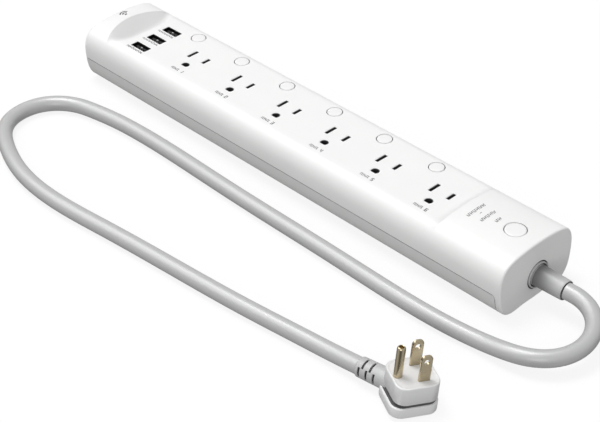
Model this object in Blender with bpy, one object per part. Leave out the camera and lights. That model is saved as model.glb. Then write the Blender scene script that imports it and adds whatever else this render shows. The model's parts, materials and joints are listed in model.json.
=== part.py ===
"""Power strip: six switched outlets, three USB ports, a reset button and a captive mains cord.

The strip lies along X with its cord end at +X, its outlets face +Z and its feet stand on z = 0. The origin is
the bottom centre of the strip, cord not counted. Every size below is in millimetres; the mesh builders turn
them into metres. Touching pieces keep a clearance of GAP.
"""
import math

import bmesh
import bpy
import numpy as np
from mathutils import Euler, Matrix, Vector

MM = 0.001
GAP = 0.3

# Housing
HALF_LENGTH = 180.5
FOOT_HEIGHT = 1.0
WALL = 2.2
FLOOR_TOP = 3.4
DECK_Z = 37.0
DECK_UNDERSIDE = DECK_Z - WALL
CROWN_Z = 39.8
SEAM_Z = 17.6
CAP_INNER_X = 177.0
SEAM_CORNER_RADIUS = 2.5

# Half of the cross-section (y, z), from the edge of the flat underside round to the crown
HALF_SECTION = [
    (22.0, FOOT_HEIGHT), (25.3, 2.9), (28.8, 7.6), (30.4, 14.0), (31.0, 22.0), (30.4, 28.5),
    (28.6, 32.6), (25.3, 35.9), (21.5, 37.6), (16.0, 38.7), (8.0, 39.5), (0.0, CROWN_Z),
]
SECTION_STEPS = 2

# The outlet deck is a flat plane between a crescent-shaped slope and a low step
SLOPE_TOP_X = -169.2
SLOPE_FOOT_X = -148.5
SLOPE_BOW = 7.0
STEP_X = 129.2
STEP_RUN = 5.0
SHOULDER_Y = 25.0

# Outlets
OUTLETS = 6
PITCH = 41.9
FIRST_OUTLET_X = -100.0
GROUND_Y = -10.8
BLADE_Y = GROUND_Y + 11.9
HALF_BLADE_SPACING = 6.35
SLOT_WIDTH = 2.4
NEUTRAL_SLOT_LENGTH = 8.8
LINE_SLOT_LENGTH = 6.8
GROUND_HOLE_RADIUS = 2.7
GROUND_HOLE_FLAT = -1.9

# Buttons
BUTTON_OFFSET_X = -18.9
BUTTON_Y = 17.0
BUTTON_HOLE_RADIUS = 5.2
BUTTON_RADIUS = 4.85
RESET_X = 164.0
RESET_HOLE_RADIUS = 6.75
RESET_RADIUS = 6.4

# USB ports
USB_PORTS = 3
USB_X = -137.6
USB_Y = -3.1
USB_PITCH = 13.25
USB_MOUTH = (12.9, 5.5)
USB_SHELL_OUTSIDE = (13.2, 5.7)
USB_SHELL_INSIDE = (12.5, 5.0)
USB_SHELL_BOTTOM = 20.2
USB_SHELL_TOP = DECK_UNDERSIDE - GAP
USB_BOARD = ((-148.0, -25.0, 18.3), (-127.0, 18.0, 19.9))

# Boards inside
BOARD_BOTTOM = 6.0
BOARD_TOP = 7.6
PARTS_BOTTOM = BOARD_TOP + GAP
BUTTON_BOARD_Z = (26.4, 27.6)
TACT_SWITCH_TOP = 31.9

# Bus bars and contacts
BUS_Z = (15.5, 16.3)
LINE_BASE_Z = (17.5, 18.3)
CONTACT_TOP = DECK_UNDERSIDE - 0.5
LEAF = 0.6
NEUTRAL_GRIP = 1.0
GROUND_GRIP = 2.9

# Screws, feet and keyholes
SCREWS = [(-170.0, -19.0), (-170.0, 19.0), (168.0, -20.0), (168.0, 20.0)]
SCREW_SEAT_Z = 12.3
FEET_X = (-150.0, 148.0)
FOOT_SIZE = (10.0, 36.0)
FOOT_RECESS_Z = 2.0
KEYHOLES_X = (-116.0, 116.0)
STANDOFFS = [(x, y) for x in (-100.0, 0.0, 100.0) for y in (-20.0, 20.0)]

# Cord
CORD_RADIUS = 5.0
BOOT_Y = 1.7
BOOT_Z = 16.3
BOOT_END_X = 200.5

# The cord's route (x, y, z): out of the boot, down to the floor, along the strip, round and back to the plug
CORD_ROUTE = [
    (200.8, 1.7, 16.3), (206.8, 2.0, 16.2), (218.5, -0.9, 15.5), (228.0, -9.0, 14.2), (232.7, -20.4, 12.6),
    (231.5, -32.6, 11.2), (225.0, -42.9, 10.3), (214.8, -49.5, 9.4), (202.8, -52.2, 7.9), (191.0, -52.9, 6.0),
    (173.0, -54.7, 5.2), (145.0, -56.4, 5.2), (112.0, -56.3, 5.2), (70.0, -55.5, 5.2), (25.0, -55.1, 5.2),
    (-20.0, -54.3, 5.2), (-65.0, -53.0, 5.2), (-97.0, -53.0, 5.2), (-121.5, -54.6, 5.2), (-139.0, -57.3, 5.2),
    (-151.6, -60.5, 5.2), (-162.0, -66.7, 5.2), (-169.3, -75.9, 5.2), (-172.3, -87.2, 5.2), (-170.8, -98.8, 5.2),
    (-164.8, -109.0, 5.2), (-155.3, -116.7, 5.2), (-144.0, -122.6, 5.2), (-122.0, -130.7, 5.2), (-96.0, -135.0, 5.2),
    (-72.0, -135.2, 5.2), (-34.0, -131.9, 5.2), (20.0, -127.4, 5.2), (75.0, -122.8, 5.2), (117.0, -117.9, 5.2),
    (138.0, -115.9, 5.8), (157.0, -114.66, 7.42),
]
CORD_POINTS = 76

# Plug: its own frame has Z out of the face, X along the blade pair and the ground pin on the -Y side. It lies
# on its back, tilted a little by the cord. Angles are in degrees.
PLUG_PLACE = (188.5, -111.2, 1.2)
PLUG_TILT = (-5.3, 0.5, -26.5)
PLUG_HALF = 12.3
PLUG_REAR_HALF = 12.7
PLUG_REAR_EXTRA = 1.4
PLUG_CORNER = 6.2
PLUG_HEIGHT = 19.5
PLUG_REAR_TOP = 6.5
PLUG_GROOVE = 1.5
PLUG_CORE_HALF = 10.8
PRONG_LINE_Y = 3.5
GROUND_PIN_Y = PRONG_LINE_Y - 11.9
PRONG_WIDTH = 6.35
PRONG_THICKNESS = 1.52
PRONG_LENGTH = 15.9
PRONG_ROOT = 3.0
GROUND_PIN_RADIUS = 2.38
GROUND_PIN_LENGTH = 18.6
RELIEF_START = (157.3, -114.64, 7.45)
RELIEF_END = (182.0, -112.6, 9.3)
RELIEF_RADII = (5.8, 6.1)
RELIEF_SLOT = 1.5
RELIEF_SLOT_PITCH = 5.0
# (angle from the top, distance of the first slot, number of slots)
RELIEF_ROWS = ((17.0, 4.6, 2), (85.0, 2.6, 3), (197.0, 4.6, 2), (265.0, 2.6, 3))


# ---------------------------------------------------------------- helpers

def material(name, colour, roughness, metallic=0.0):
    """A Principled BSDF of one colour."""
    made = bpy.data.materials.new(name)
    made.use_nodes = True
    shader = made.node_tree.nodes["Principled BSDF"]
    shader.inputs["Base Color"].default_value = (*colour, 1.0)
    shader.inputs["Roughness"].default_value = roughness
    shader.inputs["Metallic"].default_value = metallic
    made.diffuse_color = (*colour, 1.0)
    return made


def finish_mesh(bm, name, finish, place=(0.0, 0.0, 0.0), smooth=False):
    """Turn a bmesh in millimetres into an object whose origin is at place."""
    bmesh.ops.remove_doubles(bm, verts=bm.verts, dist=0.0005)
    bmesh.ops.recalc_face_normals(bm, faces=bm.faces)
    bmesh.ops.scale(bm, vec=(MM, MM, MM), verts=bm.verts)
    mesh = bpy.data.meshes.new(name)
    bm.to_mesh(mesh)
    bm.free()
    if smooth:
        mesh.shade_smooth()
        mesh.set_sharp_from_angle(angle=math.radians(35.0))
    made = bpy.data.objects.new(name, mesh)
    made.location = Vector(place) * MM
    if finish is not None:
        mesh.materials.append(finish)
    bpy.context.collection.objects.link(made)
    return made


def as_cutter(made):
    """Mark an object as a tool that isn't part of the model."""
    made.hide_render = True
    made.display_type = "WIRE"
    return made


def combine(target, tool, operation):
    """Add a Boolean modifier that joins tool to target or cuts it away."""
    modifier = target.modifiers.new(tool.name, "BOOLEAN")
    modifier.operation = operation
    modifier.solver = "EXACT"
    modifier.object = tool


def add_loft(bm, rings):
    """Skin a list of rings with the same number of points, and close both ends."""
    rows = [[bm.verts.new(point) for point in ring] for ring in rings]
    count = len(rows[0])
    for first, second in zip(rows, rows[1:]):
        for i in range(count):
            j = (i + 1) % count
            bm.faces.new((first[i], first[j], second[j], second[i]))
    bm.faces.new(rows[0])
    bm.faces.new(rows[-1])


def add_prism(bm, outline, low, high):
    """Extrude an (x, y) outline from z = low to z = high."""
    add_loft(bm, [[(x, y, z) for x, y in outline] for z in (low, high)])


def add_box(bm, low, high):
    """A box between two corners."""
    outline = [(low[0], low[1]), (high[0], low[1]), (high[0], high[1]), (low[0], high[1])]
    add_prism(bm, outline, low[2], high[2])


def add_turned(bm, profile, sides, centre=(0.0, 0.0), phase=0.0):
    """Turn a profile of (radius, z) points round a vertical axis through centre."""
    rings = []
    for radius, z in profile:
        ring = []
        for i in range(sides):
            angle = phase + 2.0 * math.pi * i / sides
            ring.append((centre[0] + radius * math.cos(angle), centre[1] + radius * math.sin(angle), z))
        rings.append(ring)
    add_loft(bm, rings)


def add_cells(bm, xs, ys, zs, solid):
    """Skin the union of the cells of a grid for which solid(i, j, k) is true."""
    def filled(i, j, k):
        inside = 0 <= i < len(xs) - 1 and 0 <= j < len(ys) - 1 and 0 <= k < len(zs) - 1
        return inside and solid(i, j, k)

    corners = {}

    def corner(i, j, k):
        if (i, j, k) not in corners:
            corners[i, j, k] = bm.verts.new((xs[i], ys[j], zs[k]))
        return corners[i, j, k]

    for i in range(len(xs) - 1):
        for j in range(len(ys) - 1):
            for k in range(len(zs) - 1):
                if not filled(i, j, k):
                    continue
                for step in (0, 1):
                    side = 1 if step else -1
                    if not filled(i + side, j, k):
                        a = i + step
                        square = ((j, k), (j + 1, k), (j + 1, k + 1), (j, k + 1))
                        bm.faces.new([corner(a, b, c) for b, c in square])
                    if not filled(i, j + side, k):
                        b = j + step
                        square = ((i, k), (i + 1, k), (i + 1, k + 1), (i, k + 1))
                        bm.faces.new([corner(a, b, c) for a, c in square])
                    if not filled(i, j, k + side):
                        c = k + step
                        square = ((i, j), (i + 1, j), (i + 1, j + 1), (i, j + 1))
                        bm.faces.new([corner(a, b, c) for a, b in square])


def smooth_line(points, steps):
    """Catmull-Rom curve through points, with steps pieces between neighbours."""
    points = [Vector(point) for point in points]
    padded = [2 * points[0] - points[1]] + points + [2 * points[-1] - points[-2]]
    line = []
    for a, b, c, d in zip(padded, padded[1:], padded[2:], padded[3:]):
        for i in range(steps):
            t = i / steps
            line.append(0.5 * (2 * b + (c - a) * t + (2 * a - 5 * b + 4 * c - d) * t ** 2
                               + (3 * b - a - 3 * c + d) * t ** 3))
    line.append(points[-1])
    return line


def even_line(points, count):
    """A curve of continuous curvature (natural cubic spline) through points, read at count even distances."""
    points = np.array(points)
    steps = np.linalg.norm(np.diff(points, axis=0), axis=1)
    matrix = np.eye(len(points))
    slopes = np.diff(points, axis=0) / steps[:, None]
    change = np.zeros_like(points)
    for i in range(1, len(points) - 1):
        matrix[i, i - 1:i + 2] = steps[i - 1], 2.0 * (steps[i - 1] + steps[i]), steps[i]
        change[i] = 6.0 * (slopes[i] - slopes[i - 1])
    bend = np.linalg.solve(matrix, change)
    fine = []
    for i, step in enumerate(steps):
        for t in np.linspace(0.0, 1.0, 40, endpoint=False):
            back = 1.0 - t
            fine.append(back * points[i] + t * points[i + 1]
                        + step ** 2 / 6.0 * ((back ** 3 - back) * bend[i] + (t ** 3 - t) * bend[i + 1]))
    fine = np.array(fine + [points[-1]])
    along = np.concatenate(([0.0], np.cumsum(np.linalg.norm(np.diff(fine, axis=0), axis=1))))
    wanted = np.linspace(0.0, along[-1], count)
    return [tuple(np.interp(at, along, fine[:, axis]) for axis in range(3)) for at in wanted]


def rounded_square(half, corner, steps=5):
    """Outline of a square with rounded corners, centred on the origin."""
    outline = []
    for quarter, (sx, sy) in enumerate(((1, 1), (-1, 1), (-1, -1), (1, -1))):
        for i in range(steps + 1):
            angle = math.pi / 2.0 * (quarter + i / steps)
            outline.append((sx * (half - corner) + corner * math.cos(angle),
                            sy * (half - corner) + corner * math.sin(angle)))
    return outline


def tube(name, finish, points, radius, resolution):
    """A round tube through points, as a curve with filled ends."""
    curve = bpy.data.curves.new(name, "CURVE")
    curve.dimensions = "3D"
    curve.bevel_depth = radius * MM
    curve.bevel_resolution = resolution
    curve.use_fill_caps = True
    spline = curve.splines.new("POLY")
    spline.points.add(len(points) - 1)
    for target, point in zip(spline.points, points):
        target.co = (*(Vector(point) * MM), 1.0)
    curve.materials.append(finish)
    made = bpy.data.objects.new(name, curve)
    bpy.context.collection.objects.link(made)
    return made


def outlet_x(index):
    """X of an outlet's ground hole."""
    return FIRST_OUTLET_X + index * PITCH


def button_x(index):
    """X of an outlet's push button."""
    return outlet_x(index) + BUTTON_OFFSET_X


def usb_y(index):
    """Y of a USB port's centre."""
    return USB_Y + (index - 1) * USB_PITCH


# ---------------------------------------------------------------- housing

def section(inset=0.0):
    """The closed cross-section as (y, z) points, moved inwards by inset."""
    half = [Vector(point) for point in smooth_line(HALF_SECTION, SECTION_STEPS)]
    moved = []
    for i, point in enumerate(half):
        ahead = half[min(i + 1, len(half) - 1)]
        behind = half[max(i - 1, 0)]
        along = (ahead - behind).normalized()
        moved.append(point + inset * Vector((-along.y, along.x)))
    moved[0] = Vector((half[0].x - 0.4 * inset, half[0].y + inset))
    moved[-1] = Vector((0.0, half[-1].y - inset))
    left = [Vector((-point.x, point.y)) for point in reversed(moved[:-1])]
    return [(point.x, point.y) for point in moved + left]


def outer_rings():
    """Rings of the housing's outer shape, from the USB end to the cord end."""
    def ring(x_of, low_deck, inset=0.0):
        points = []
        for y, z in section(inset):
            points.append((x_of(abs(y)), y, min(z, DECK_Z) if low_deck else z))
        return points

    def level(x):
        return lambda y: x

    def slope_top(y):
        return SLOPE_TOP_X + SLOPE_BOW * (min(y, SHOULDER_Y) / SHOULDER_Y) ** 2

    def slope_foot(y):
        return SLOPE_FOOT_X - SLOPE_BOW * (min(y, SHOULDER_Y) / SHOULDER_Y) ** 4

    edge = [(0.0, 1.3), (0.4, 0.5), (1.4, 0.0)]
    rings = [ring(level(-HALF_LENGTH + x), False, inset) for x, inset in edge]
    rings.append(ring(slope_top, False))
    rings.append(ring(slope_foot, True))
    rings.append(ring(level(STEP_X - STEP_RUN), True))
    rings.append(ring(level(STEP_X), False))
    rings += [ring(level(HALF_LENGTH - x), False, inset) for x, inset in reversed(edge)]
    return rings


def outer_solid(name, finish):
    """The whole outside of the strip as one solid."""
    bm = bmesh.new()
    add_loft(bm, outer_rings())
    return finish_mesh(bm, name, finish)


def cavity(name, floor, end_x):
    """The inside of the housing, with its floor at a given height."""
    bm = bmesh.new()
    inner = [(y, min(max(z, floor), DECK_UNDERSIDE)) for y, z in section(WALL)]
    add_loft(bm, [[(x, y, z) for y, z in inner] for x in (-HALF_LENGTH + WALL, end_x)])
    return as_cutter(finish_mesh(bm, name, None))


def seam_outline(clearance):
    """Side view (x, z) of the space below the seam, with its corner by the end cap rounded."""
    top = SEAM_Z - clearance
    end = CAP_INNER_X - clearance
    radius = SEAM_CORNER_RADIUS
    outline = [(-2 * HALF_LENGTH, -10.0), (end, -10.0)]
    for i in range(5):
        angle = math.pi / 2.0 * i / 4
        outline.append((end - radius + radius * math.cos(angle), top - radius + radius * math.sin(angle)))
    outline.append((-2 * HALF_LENGTH, top))
    return outline


def seam_block(name, clearance):
    """Everything below the seam, as wide as the strip."""
    bm = bmesh.new()
    add_loft(bm, [[(x, y, z) for x, z in seam_outline(clearance)] for y in (-60.0, 60.0)])
    return as_cutter(finish_mesh(bm, name, None))


def add_outlet_holes(bm, index):
    """Two blade slots and a D-shaped ground hole."""
    x = outlet_x(index)
    low, high = DECK_UNDERSIDE - 5.0, DECK_Z + 5.0
    for side, length in ((-1, NEUTRAL_SLOT_LENGTH), (1, LINE_SLOT_LENGTH)):
        centre = x + side * HALF_BLADE_SPACING
        add_box(bm, (centre - SLOT_WIDTH / 2, BLADE_Y - length / 2, low),
                (centre + SLOT_WIDTH / 2, BLADE_Y + length / 2, high))
    start = math.asin(GROUND_HOLE_FLAT / GROUND_HOLE_RADIUS)
    arc = []
    for i in range(13):
        angle = start + (math.pi - 2 * start) * i / 12
        arc.append((x + GROUND_HOLE_RADIUS * math.cos(angle), GROUND_Y + GROUND_HOLE_RADIUS * math.sin(angle)))
    add_prism(bm, arc, low, high)


def upper_holes():
    """Every hole through the upper housing."""
    bm = bmesh.new()
    low, high = DECK_UNDERSIDE - 5.0, DECK_Z + 5.0
    for index in range(OUTLETS):
        add_outlet_holes(bm, index)
        add_turned(bm, [(BUTTON_HOLE_RADIUS, low), (BUTTON_HOLE_RADIUS, high)], 24, (button_x(index), BUTTON_Y))
    for index in range(USB_PORTS):
        half_x, half_y = USB_MOUTH[0] / 2, USB_MOUTH[1] / 2
        add_box(bm, (USB_X - half_x, usb_y(index) - half_y, low),
                (USB_X + half_x, usb_y(index) + half_y, high))
    add_turned(bm, [(RESET_HOLE_RADIUS, low), (RESET_HOLE_RADIUS, high)], 28, (RESET_X, 0.0))
    for centre in SCREWS:
        add_turned(bm, [(1.45, SEAM_Z - 1.0), (1.45, 29.0)], 12, centre)
    return as_cutter(finish_mesh(bm, "upper_hole_tool", None))


def boot_hole():
    """The round hole for the cord's boot in the end cap."""
    bm = bmesh.new()
    add_turned(bm, [(8.5, -6.0), (8.5, 8.0)], 24)
    made = as_cutter(finish_mesh(bm, "boot_hole_tool", None, (HALF_LENGTH, BOOT_Y, BOOT_Z)))
    made.rotation_euler = Euler((0.0, math.pi / 2.0, 0.0))
    return made


def upper_bosses():
    """Posts under the top that take the housing screws."""
    bm = bmesh.new()
    for centre in SCREWS:
        add_turned(bm, [(3.2, SEAM_Z + GAP), (3.2, DECK_UNDERSIDE + 1.0)], 16, centre)
    return as_cutter(finish_mesh(bm, "upper_boss_tool", None))


def make_upper_housing(finish):
    """Top shell with the cord-end cap, its holes and screw posts."""
    shell = outer_solid("upper_housing", finish)
    combine(shell, cavity("upper_cavity_tool", -5.0, CAP_INNER_X), "DIFFERENCE")
    combine(shell, seam_block("upper_seam_tool", 0.0), "DIFFERENCE")
    combine(shell, upper_bosses(), "UNION")
    combine(shell, upper_holes(), "DIFFERENCE")
    combine(shell, boot_hole(), "DIFFERENCE")


def lower_bosses():
    """Screw tubes and board standoffs on the floor."""
    bm = bmesh.new()
    for centre in SCREWS:
        add_turned(bm, [(4.2, FLOOR_TOP - 1.0), (4.2, SEAM_Z - GAP)], 16, centre)
    for centre in STANDOFFS:
        add_turned(bm, [(2.5, FLOOR_TOP - 1.0), (2.5, BOARD_BOTTOM - GAP)], 12, centre)
    return as_cutter(finish_mesh(bm, "lower_boss_tool", None))


def keyhole_outline(x):
    """A wall-hanging hole: a round entry and a narrow slot towards the cord end."""
    outline = []
    narrow, wide, reach = 2.3, 4.75, 10.0
    start = math.asin(narrow / wide)
    for i in range(13):
        angle = start + (2 * math.pi - 2 * start) * i / 12
        outline.append((x + wide * math.cos(angle), wide * math.sin(angle)))
    for i in range(5):
        angle = math.pi * (-0.5 + i / 4)
        outline.append((x + reach + narrow * math.cos(angle), narrow * math.sin(angle)))
    return outline


def lower_holes():
    """Foot recesses, keyholes and screw holes in the lower housing."""
    bm = bmesh.new()
    for x in FEET_X:
        half_x, half_y = FOOT_SIZE[0] / 2 + GAP, FOOT_SIZE[1] / 2 + GAP
        add_box(bm, (x - half_x, -half_y, -2.0), (x + half_x, half_y, FOOT_RECESS_Z))
    for x in KEYHOLES_X:
        add_prism(bm, keyhole_outline(x), -2.0, FLOOR_TOP + 1.0)
    for centre in SCREWS:
        add_turned(bm, [(3.3, -2.0), (3.3, SCREW_SEAT_Z), (1.6, SCREW_SEAT_Z), (1.6, SEAM_Z + 2.0)], 16,
                   centre)
    return as_cutter(finish_mesh(bm, "lower_hole_tool", None))


def make_lower_housing(finish):
    """Bottom tray: the outer shape below the seam, hollowed and open at the cord end."""
    shell = outer_solid("lower_housing", finish)
    combine(shell, cavity("lower_cavity_tool", FLOOR_TOP, HALF_LENGTH + 5.0), "DIFFERENCE")
    combine(shell, seam_block("lower_seam_tool", GAP), "INTERSECT")
    combine(shell, lower_bosses(), "UNION")
    combine(shell, lower_holes(), "DIFFERENCE")


def make_feet(finish):
    """Rubber pads across the underside."""
    for name, x in zip(("foot_usb_end", "foot_cord_end"), FEET_X):
        bm = bmesh.new()
        half_x, half_y = FOOT_SIZE[0] / 2, FOOT_SIZE[1] / 2
        add_box(bm, (x - half_x, -half_y, 0.0), (x + half_x, half_y, FOOT_RECESS_Z - GAP))
        finish_mesh(bm, name, finish)


def make_screws(finish):
    """Pan-head screws, driven up from below."""
    head_top = SCREW_SEAT_Z - GAP
    profile = [(2.3, head_top - 2.2), (2.8, head_top - 1.7), (2.8, head_top), (1.1, head_top), (1.1, 26.0),
               (0.5, 27.0)]
    for index, centre in enumerate(SCREWS, 1):
        bm = bmesh.new()
        add_turned(bm, profile, 14, centre)
        finish_mesh(bm, f"screw_{index}", finish, smooth=True)


# ---------------------------------------------------------------- buttons and switches

def make_outlet_buttons(finish):
    """Round caps with a retaining flange and a stem; each origin is on the button's axis at deck height."""
    flange_top = DECK_UNDERSIDE - GAP - DECK_Z
    profile = [
        (BUTTON_RADIUS - 0.4, 0.1), (BUTTON_RADIUS, -0.2), (BUTTON_RADIUS, flange_top), (6.0, flange_top),
        (6.0, flange_top - 1.0), (1.5, flange_top - 1.0), (1.5, 30.4 - DECK_Z),
    ]
    for index in range(OUTLETS):
        bm = bmesh.new()
        add_turned(bm, list(reversed(profile)), 24)
        finish_mesh(bm, f"outlet_button_{index + 1}", finish, (button_x(index), BUTTON_Y, DECK_Z), smooth=True)


def make_reset_button(finish):
    """The larger button in the crown at the cord end."""
    flange_top = DECK_UNDERSIDE - GAP - CROWN_Z
    profile = [
        (RESET_RADIUS - 0.6, 0.0), (RESET_RADIUS, -0.4), (RESET_RADIUS, flange_top), (7.7, flange_top),
        (7.7, flange_top - 1.1), (2.5, flange_top - 1.1), (2.5, 28.5 - CROWN_Z),
    ]
    bm = bmesh.new()
    add_turned(bm, list(reversed(profile)), 28)
    finish_mesh(bm, "reset_button", finish, (RESET_X, 0.0, CROWN_Z), smooth=True)


def switch_body(name, finish, centre, half, low, high, bore, bore_bottom):
    """A square switch whose top has a round well for a button's stem."""
    bm = bmesh.new()
    add_box(bm, (centre[0] - half[0], centre[1] - half[1], low),
            (centre[0] + half[0], centre[1] + half[1], high))
    body = finish_mesh(bm, name, finish)
    bm = bmesh.new()
    add_turned(bm, [(bore, bore_bottom), (bore, high + 2.0)], 12, centre)
    combine(body, as_cutter(finish_mesh(bm, name + "_tool", None)), "DIFFERENCE")


def make_switches(finish):
    """A tactile switch under each outlet button and the breaker switch under the reset button."""
    for index in range(OUTLETS):
        switch_body(f"tact_switch_{index + 1}", finish, (button_x(index), BUTTON_Y), (3.0, 3.0),
                    BUTTON_BOARD_Z[1] + GAP, TACT_SWITCH_TOP, 1.9, 28.9)
    switch_body("reset_switch", finish, (RESET_X, 0.0), (7.5, 8.0), 24.5, 31.4, 3.0, 26.5)


# ---------------------------------------------------------------- electrical parts

def add_comb(bm, ys, grip, posts, ends):
    """A bus bar along X with a pair of leaves standing up at each post."""
    xs = [ends[0]]
    leaves = set()
    for post in posts:
        for low in (post - grip - LEAF, post + grip):
            xs += [low, low + LEAF]
            leaves.add(len(xs) - 2)
    xs.append(ends[1])
    zs = [BUS_Z[0], BUS_Z[1], CONTACT_TOP]
    add_cells(bm, xs, ys, zs, lambda i, j, k: k == 0 or i in leaves)


def make_buses(brass):
    """The neutral and ground bus bars, each one strip with its contacts."""
    neutral_posts = [outlet_x(index) - HALF_BLADE_SPACING for index in range(OUTLETS)]
    bm = bmesh.new()
    add_comb(bm, [BLADE_Y - 4.4, BLADE_Y + 4.4], NEUTRAL_GRIP, neutral_posts, (-112.0, 112.0))
    finish_mesh(bm, "neutral_bus", brass)
    ground_posts = [outlet_x(index) for index in range(OUTLETS)]
    bm = bmesh.new()
    add_comb(bm, [GROUND_Y - 3.0, GROUND_Y + 3.0], GROUND_GRIP, ground_posts, (-106.0, 118.0))
    finish_mesh(bm, "ground_bus", brass)


def make_line_contacts(brass):
    """One U-shaped line contact for each outlet, with a solder tab."""
    for index in range(OUTLETS):
        centre = outlet_x(index) + HALF_BLADE_SPACING
        xs = [centre - NEUTRAL_GRIP - LEAF, centre - NEUTRAL_GRIP, centre + NEUTRAL_GRIP,
              centre + NEUTRAL_GRIP + LEAF]
        ys = [BLADE_Y - 3.4, BLADE_Y + 3.4, 7.4]
        zs = [LINE_BASE_Z[0], LINE_BASE_Z[1], CONTACT_TOP]
        bm = bmesh.new()
        add_cells(bm, xs, ys, zs, lambda i, j, k: k == 0 or (i != 1 and j == 0))
        finish_mesh(bm, f"line_contact_{index + 1}", brass)


def make_boards(board):
    """The main board on the floor, the button board under the deck and the USB board."""
    sizes = {
        "main_board": ((-163.0, -24.5, BOARD_BOTTOM), (150.0, 24.5, BOARD_TOP)),
        "button_board": ((button_x(0) - 7.0, 11.5, BUTTON_BOARD_Z[0]),
                         (button_x(5) + 7.0, 23.5, BUTTON_BOARD_Z[1])),
        "usb_board": USB_BOARD,
    }
    for name, (low, high) in sizes.items():
        bm = bmesh.new()
        add_box(bm, low, high)
        finish_mesh(bm, name, board)


def make_board_parts(relay, ferrite, capacitor, ceramic, steel):
    """Relays, the USB supply's transformer and capacitor, the surge varistor and the radio's shield."""
    for index in range(OUTLETS):
        x = outlet_x(index)
        bm = bmesh.new()
        add_box(bm, (x - 9.5, 8.0, PARTS_BOTTOM), (x + 9.5, 23.3, 23.1))
        finish_mesh(bm, f"relay_{index + 1}", relay)
    bm = bmesh.new()
    xs = [-162.0, -158.5, -147.5, -144.0]
    ys = [-9.0, -6.0, 6.0, 9.0]
    zs = [PARTS_BOTTOM, 9.5, 16.0, 17.9]
    add_cells(bm, xs, ys, zs, lambda i, j, k: k != 1 or i == 1 or j == 1)
    finish_mesh(bm, "transformer", ferrite)
    bm = bmesh.new()
    add_turned(bm, [(5.0, PARTS_BOTTOM), (5.0, 23.4), (4.4, 24.0)], 18, (-155.0, 16.0))
    finish_mesh(bm, "capacitor", capacitor, smooth=True)
    bm = bmesh.new()
    add_turned(bm, [(5.8, -2.4), (7.0, -1.4), (7.0, 1.4), (5.8, 2.4)], 20)
    disc = finish_mesh(bm, "varistor", ceramic, (134.0, 14.0, PARTS_BOTTOM + 7.0), smooth=True)
    disc.rotation_euler = Euler((0.0, math.pi / 2.0, 0.0))
    bm = bmesh.new()
    add_box(bm, (-12.0, -23.5, PARTS_BOTTOM), (12.0, -8.5, 11.0))
    finish_mesh(bm, "wifi_shield", steel)


def make_usb_ports(steel, tongue):
    """Steel shells with their contact tongues."""
    for index in range(USB_PORTS):
        y = usb_y(index)
        out_x, out_y = USB_SHELL_OUTSIDE[0] / 2, USB_SHELL_OUTSIDE[1] / 2
        in_x, in_y = USB_SHELL_INSIDE[0] / 2, USB_SHELL_INSIDE[1] / 2
        bm = bmesh.new()
        xs = [USB_X - out_x, USB_X - in_x, USB_X + in_x, USB_X + out_x]
        ys = [y - out_y, y - in_y, y + in_y, y + out_y]
        zs = [USB_SHELL_BOTTOM, USB_SHELL_BOTTOM + 0.8, USB_SHELL_TOP]
        add_cells(bm, xs, ys, zs, lambda i, j, k: k == 0 or i != 1 or j != 1)
        finish_mesh(bm, f"usb_shell_{index + 1}", steel)
        bm = bmesh.new()
        add_box(bm, (USB_X - 5.6, y + 0.1, USB_SHELL_BOTTOM + 0.8 + GAP),
                (USB_X + 5.6, y + 1.9, USB_SHELL_TOP - 1.2))
        finish_mesh(bm, f"usb_tongue_{index + 1}", tongue)


def make_leads(line, neutral, ground):
    """The cord's three insulated conductors inside the housing."""
    start_x = 171.9
    routes = {
        "lead_line": (line, [(start_x, 1.5, 19.8), (168.0, 1.5, 20.0), (165.0, 1.5, 21.4), (164.2, 1.5, 24.1)]),
        "lead_neutral": (neutral, [(start_x, 4.8, 14.3), (150.0, 4.0, 13.2), (130.0, 1.6, 14.2),
                                   (112.4, BLADE_Y, 15.9)]),
        "lead_ground": (ground, [(start_x, -1.8, 14.3), (156.0, -5.0, 13.0), (135.0, -9.6, 13.6),
                                 (118.4, GROUND_Y, 15.9)]),
    }
    for name, (finish, points) in routes.items():
        tube(name, finish, even_line(points, 12), 1.4, 2)


# ---------------------------------------------------------------- cord and plug

def make_cord_boot(finish):
    """The moulded boot: inner flange, collar flush with the end cap, tapered sleeve with a mouth."""
    profile = [
        (9.8, 172.2), (9.8, CAP_INNER_X - GAP), (8.2, CAP_INNER_X - GAP), (8.2, 180.3), (6.9, 180.7), (6.5, 181.6),
        (6.1, 197.0), (5.9, BOOT_END_X - 0.5), (5.5, BOOT_END_X), (5.2, BOOT_END_X), (5.0, BOOT_END_X - 1.2),
    ]
    bm = bmesh.new()
    add_turned(bm, [(radius, x - HALF_LENGTH) for radius, x in profile], 24)
    boot = finish_mesh(bm, "cord_boot", finish, (HALF_LENGTH, BOOT_Y, BOOT_Z), smooth=True)
    boot.rotation_euler = Euler((0.0, math.pi / 2.0, 0.0))


def plug_outline(half, extra=0.0):
    """The plug body's outline in its own frame, longer by extra on the ground pin's side."""
    outline = rounded_square(half, PLUG_CORNER * half / PLUG_HALF)
    return [(x, y - extra if y < 0.0 else y) for x, y in outline]


def add_plug_solid(bm, layers, extra=0.0):
    """Stack plug outlines of the given (half size, z)."""
    add_loft(bm, [[(x, y, z) for x, y in plug_outline(half, extra)] for half, z in layers])


def on_plug(made, frame):
    """Place a piece in the plug's frame."""
    made.parent = frame
    return made


def prong_outline(length):
    """Front view of a flat blade (across, up), with rounded tip corners."""
    half, corner = PRONG_WIDTH / 2, 2.4
    outline = [(-half, -PRONG_ROOT), (half, -PRONG_ROOT)]
    for quarter, side in ((0, 1), (1, -1)):
        for i in range(5):
            angle = math.pi / 2.0 * (quarter + i / 4)
            outline.append((side * (half - corner) + corner * math.cos(angle),
                            length - corner + corner * math.sin(angle)))
    return outline


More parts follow.
